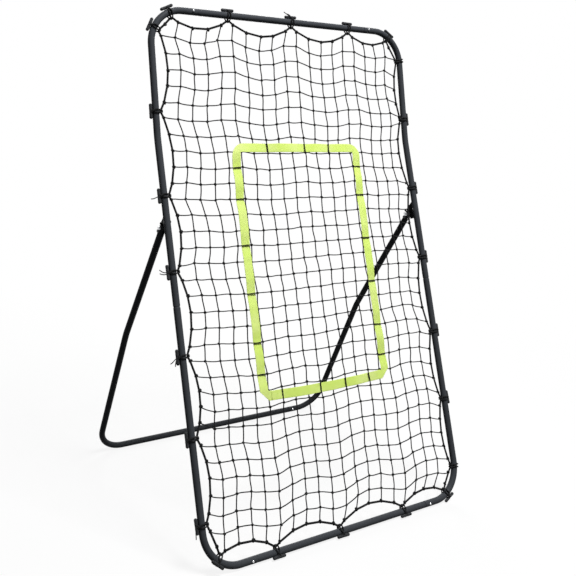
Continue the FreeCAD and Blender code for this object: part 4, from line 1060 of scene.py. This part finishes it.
def webbing_edge(bounds, top_r, foot_cut):
    """One edge line of the webbing, clockwise from the bottom left: sides, arcs above, mitres below.

    Each side and each corner has the same number of points on the outer line as on the inner one.
    """
    low_x, high_x, low_z, high_z = bounds
    share = np.linspace(0, 1, CORNER_STEPS)[:, None]
    turn = share * math.pi / 2
    corners = [
        np.hstack([low_x + top_r * (1 - np.cos(turn)), high_z - top_r * (1 - np.sin(turn))]),
        np.hstack([high_x - top_r * (1 - np.sin(turn)), high_z - top_r * (1 - np.cos(turn))]),
        np.hstack([high_x - foot_cut * share, low_z + foot_cut * (1 - share)]),
        np.hstack([low_x + foot_cut * (1 - share), low_z + foot_cut * share]),
    ]
    line = []
    for index, corner in enumerate(corners):
        before, steps = corners[index - 1][-1], (LONG_STEPS, SHORT_STEPS)[index % 2]
        line.append(before + (corner[0] - before) * np.linspace(0, 1, steps + 2)[1:-1, None])
        line.append(corner)
    return np.vstack(line)


def net_depth(across, up):
    """How far behind the lower frame's plane the net lies, between its four nearest knots."""
    column = np.interp(across, knots[ROWS // 2, :, 0], np.arange(COLUMNS))
    row = np.interp(-up, -knots[:, COLUMNS // 2, 2], np.arange(ROWS))
    left, above = column.astype(int), row.astype(int)
    side, fall = column - left, row - above
    upper, lower = (
        smooth_depth[level, left] * (1 - side) + smooth_depth[level, left + 1] * side
        for level in (above, above + 1)
    )
    return upper * (1 - fall) + lower * fall


def dip(away):
    """One wave of a cosine, from 1 at a strand to 0 at UNDER_HALF from it."""
    return 0.5 + 0.5 * np.cos(math.pi * np.clip(away / UNDER_HALF, -1, 1))


def edge_give(overlap, behind):
    """How far the inner edge gives way to the strand beside it, as the webbing goes behind the net.

    It clears the strand by EDGE_CLEAR; the give eases in as a cubic over the first half of the dip.
    """
    start = np.clip(behind / GIVE_START, 0, 1)
    return np.clip(overlap + EDGE_CLEAR, 0, EDGE_GIVE) * start ** 2 * (3 - 2 * start)


def woven(flat, front):
    """Webbing points set before or behind the net's strands, from flat places (across, up).

    Before the net by default; a dip behind it, one wave of a cosine, at each strand that shows over
    the webbing, where its left and upper inner edges give way to the strand beside them. The lower
    band bows down as a parabola.
    """
    across, up = flat[..., 0], flat[..., 1]
    low_x, high_x, low_z, high_z = WEBBING_INNER
    on_left, on_top = across < low_x + ON_EDGE, up > high_z - ON_EDGE
    on_right, on_foot = across > high_x - ON_EDGE, up < low_z + ON_EDGE
    on_side, on_band = (up > low_z) & (up < high_z), (across > low_x) & (across < high_x)
    behind = np.zeros(flat.shape[:-1])
    for inside, column in ((on_left, LEFT_COLUMN), (on_right, RIGHT_COLUMN)):
        for row in UNDER_ROWS:
            behind = np.maximum(behind, dip(up - knots[row, column, 2]) * inside * on_side)
    for inside, row, columns in (
        (on_top, TOP_ROW, UNDER_COLUMNS_TOP), (on_foot, FOOT_ROW, UNDER_COLUMNS_FOOT)
    ):
        for column in columns:
            behind = np.maximum(behind, dip(across - knots[row, column, 0]) * inside * on_band)
    beside = np.interp(-up, -knots[:, LEFT_COLUMN, 2], knots[:, LEFT_COLUMN, 0])
    above = np.interp(across, knots[TOP_ROW, :, 0], knots[TOP_ROW, :, 2])
    width = WEBBING_INNER[0] - WEBBING_OUTER[0]
    left_share = np.clip(1 + (across - low_x) / width, 0, 1) * on_left * on_side
    top_share = np.clip(1 - (up - high_z) / width, 0, 1) * on_top * on_band
    across = across - left_share * edge_give(low_x - beside, behind)
    up = up + top_share * edge_give(above - high_z, behind)
    middle, half = (low_x + high_x) / 2, (high_x - low_x) / 2
    bow = np.clip(1 - ((across - middle) / half) ** 2, 0, 1)
    up = up - FOOT_BOW * bow * np.clip((FOOT_BOW_TOP - up) / FOOT_BOW_FADE, 0, 1)
    depth = net_depth(across, up) - LIFT * (1 - 2 * behind) - front
    return np.stack([across, depth, up], axis=-1)


def rounded_strip(inner, outer, thickness, front):
    """A strip between two edge lines: rings of a flattened superellipse across it."""
    turn = ring_turns(WEBBING_RING)
    share = 0.5 + 0.5 * np.sign(np.cos(turn)) * np.abs(np.cos(turn)) ** STRIP_SQUARE
    lift = np.sign(np.sin(turn)) * np.abs(np.sin(turn)) ** STRIP_FLAT * thickness / 2
    strip = woven(inner[:, None] + (outer - inner)[:, None] * share[None, :, None], front)
    strip[..., 1] += lift
    return strip


# Group "webbing weave": ribs across the strip and fine warp ends along it, from its UV map, with
# painted light in lighter patches at random, and painted shade in the low places of the weave
WARP_ENDS = 72
weave, given, result = new_group(
    "webbing_weave",
    {"Color": LIME, "Light": LIME_PAINTED_LIGHT, "Dark": LIME_PAINTED_SHADE, "Rib Pitch": 0.0013},
    {"Color": "Color", "Height": "Float"},
)
split = node(weave, "SeparateXYZ", node(weave, "UVMap")[0])
ribs = wave(weave, maths(weave, "DIVIDE", split["Y"], given["Rib Pitch"]))
ends = maths(weave, "SINE", maths(weave, "MULTIPLY", split["X"], 2 * math.pi * WARP_ENDS))
height = maths(weave, "MULTIPLY_ADD", ends, 0.5, ribs)
height = rescale(weave, height, -1.5, 1.5)
# Painted light: random patches of a whiter lime, like the lit slopes of the wavy webbing.
painted_light_patches = noise(weave, object_place(weave), Scale=11.0, Detail=4.0, Roughness=0.6)
lighter = blend(weave, rescale(weave, painted_light_patches, 0.42, 0.68, 0.0, 0.9), given["Color"], given["Light"])
# Painted shade: the weave's low places are mixed towards the dark lime.
darker = blend(weave, rescale(weave, height, 0.0, 0.45, 0.55, 0.0), lighter, given["Dark"])
feed(weave, result["Color"], darker)
feed(weave, result["Height"], height)

lime_webbing, tree, shader = new_material("lime_webbing", Roughness=0.75, Sheen_Weight=0.2,
                                          Sheen_Roughness=0.4, Specular_IOR_Level=0.3)
cloth = group_node(tree, weave)
feed(tree, shader["Base Color"], cloth["Color"])
feed(tree, shader["Normal"], bump_normal(tree, cloth["Height"], 0.00025))

outer_edge = webbing_edge(WEBBING_OUTER, WEBBING_TOP_R, WEBBING_FOOT_CUT)
inner_edge = webbing_edge(WEBBING_INNER, WEBBING_INNER_R, WEBBING_INNER_R)
webbing = surface("strike_zone_webbing", leaning(rounded_strip(inner_edge, outer_edge, WEBBING_T, 0.0)),
                  lime_webbing, closed_rows=True)

# The sewn overlap: the free end lies in front of the other, 45 mm long, under two rows of stitches
OVERLAP = (-0.222, -0.178)
OVERLAP_STEPS = 16
OVERLAP_IN = 0.0004
OVERLAP_T, OVERLAP_FRONT = 0.0013, 0.00135
STITCH_ROWS = (-0.203, -0.1975)
STITCHES, STITCH_START, STITCH_PITCH = 8, 0.0035, 0.0036
STITCH_L, STITCH_R, STITCH_SIDES, STITCH_STEPS = 0.0030, 0.00045, 6, 5
STITCH_FRONT, STITCH_SINK = 0.0020, 0.0007
overlap_high, overlap_low = (
    np.column_stack([np.linspace(*OVERLAP, OVERLAP_STEPS), np.full(OVERLAP_STEPS, up)])
    for up in (WEBBING_INNER[2] - OVERLAP_IN, WEBBING_OUTER[2] + OVERLAP_IN)
)
overlap_strip = rounded_strip(overlap_high, overlap_low, OVERLAP_T, OVERLAP_FRONT)
overlap = surface("webbing_overlap", leaning(overlap_strip), lime_webbing)
stitch_up = WEBBING_OUTER[2] + STITCH_START + np.arange(STITCHES) * STITCH_PITCH
stitch_middle = np.stack(np.meshgrid(STITCH_ROWS, stitch_up, indexing="ij"), axis=-1).reshape(-1, 1, 2)
stitch_share = np.linspace(-0.5, 0.5, STITCH_STEPS)
stitch_lines = woven(stitch_middle + stitch_share[None, :, None] * np.array([0.0, STITCH_L]), STITCH_FRONT)
stitch_lines[..., 1] += STITCH_SINK * (2 * stitch_share) ** 2
lime_thread = cord_material("lime_thread", roughness=0.6, turns=900.0, strands=2.0, braid=0.0, depth=0.0001,
                            sheen=0.1, dark=(0.34, 0.60, 0.06, 1), pale=(0.62, 0.88, 0.15, 1))
stitches = bars("webbing_stitches", leaning(stitch_lines), STITCH_R, STITCH_SIDES, np.array([1.0, 0, 0]),
                lime_thread)

for piece in (webbing, overlap, stitches):
    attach(piece, "frame")
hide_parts("target_ribbon")
middle_edge = (outer_edge + inner_edge) / 2
middle_edge = np.vstack([middle_edge, middle_edge[:1]])
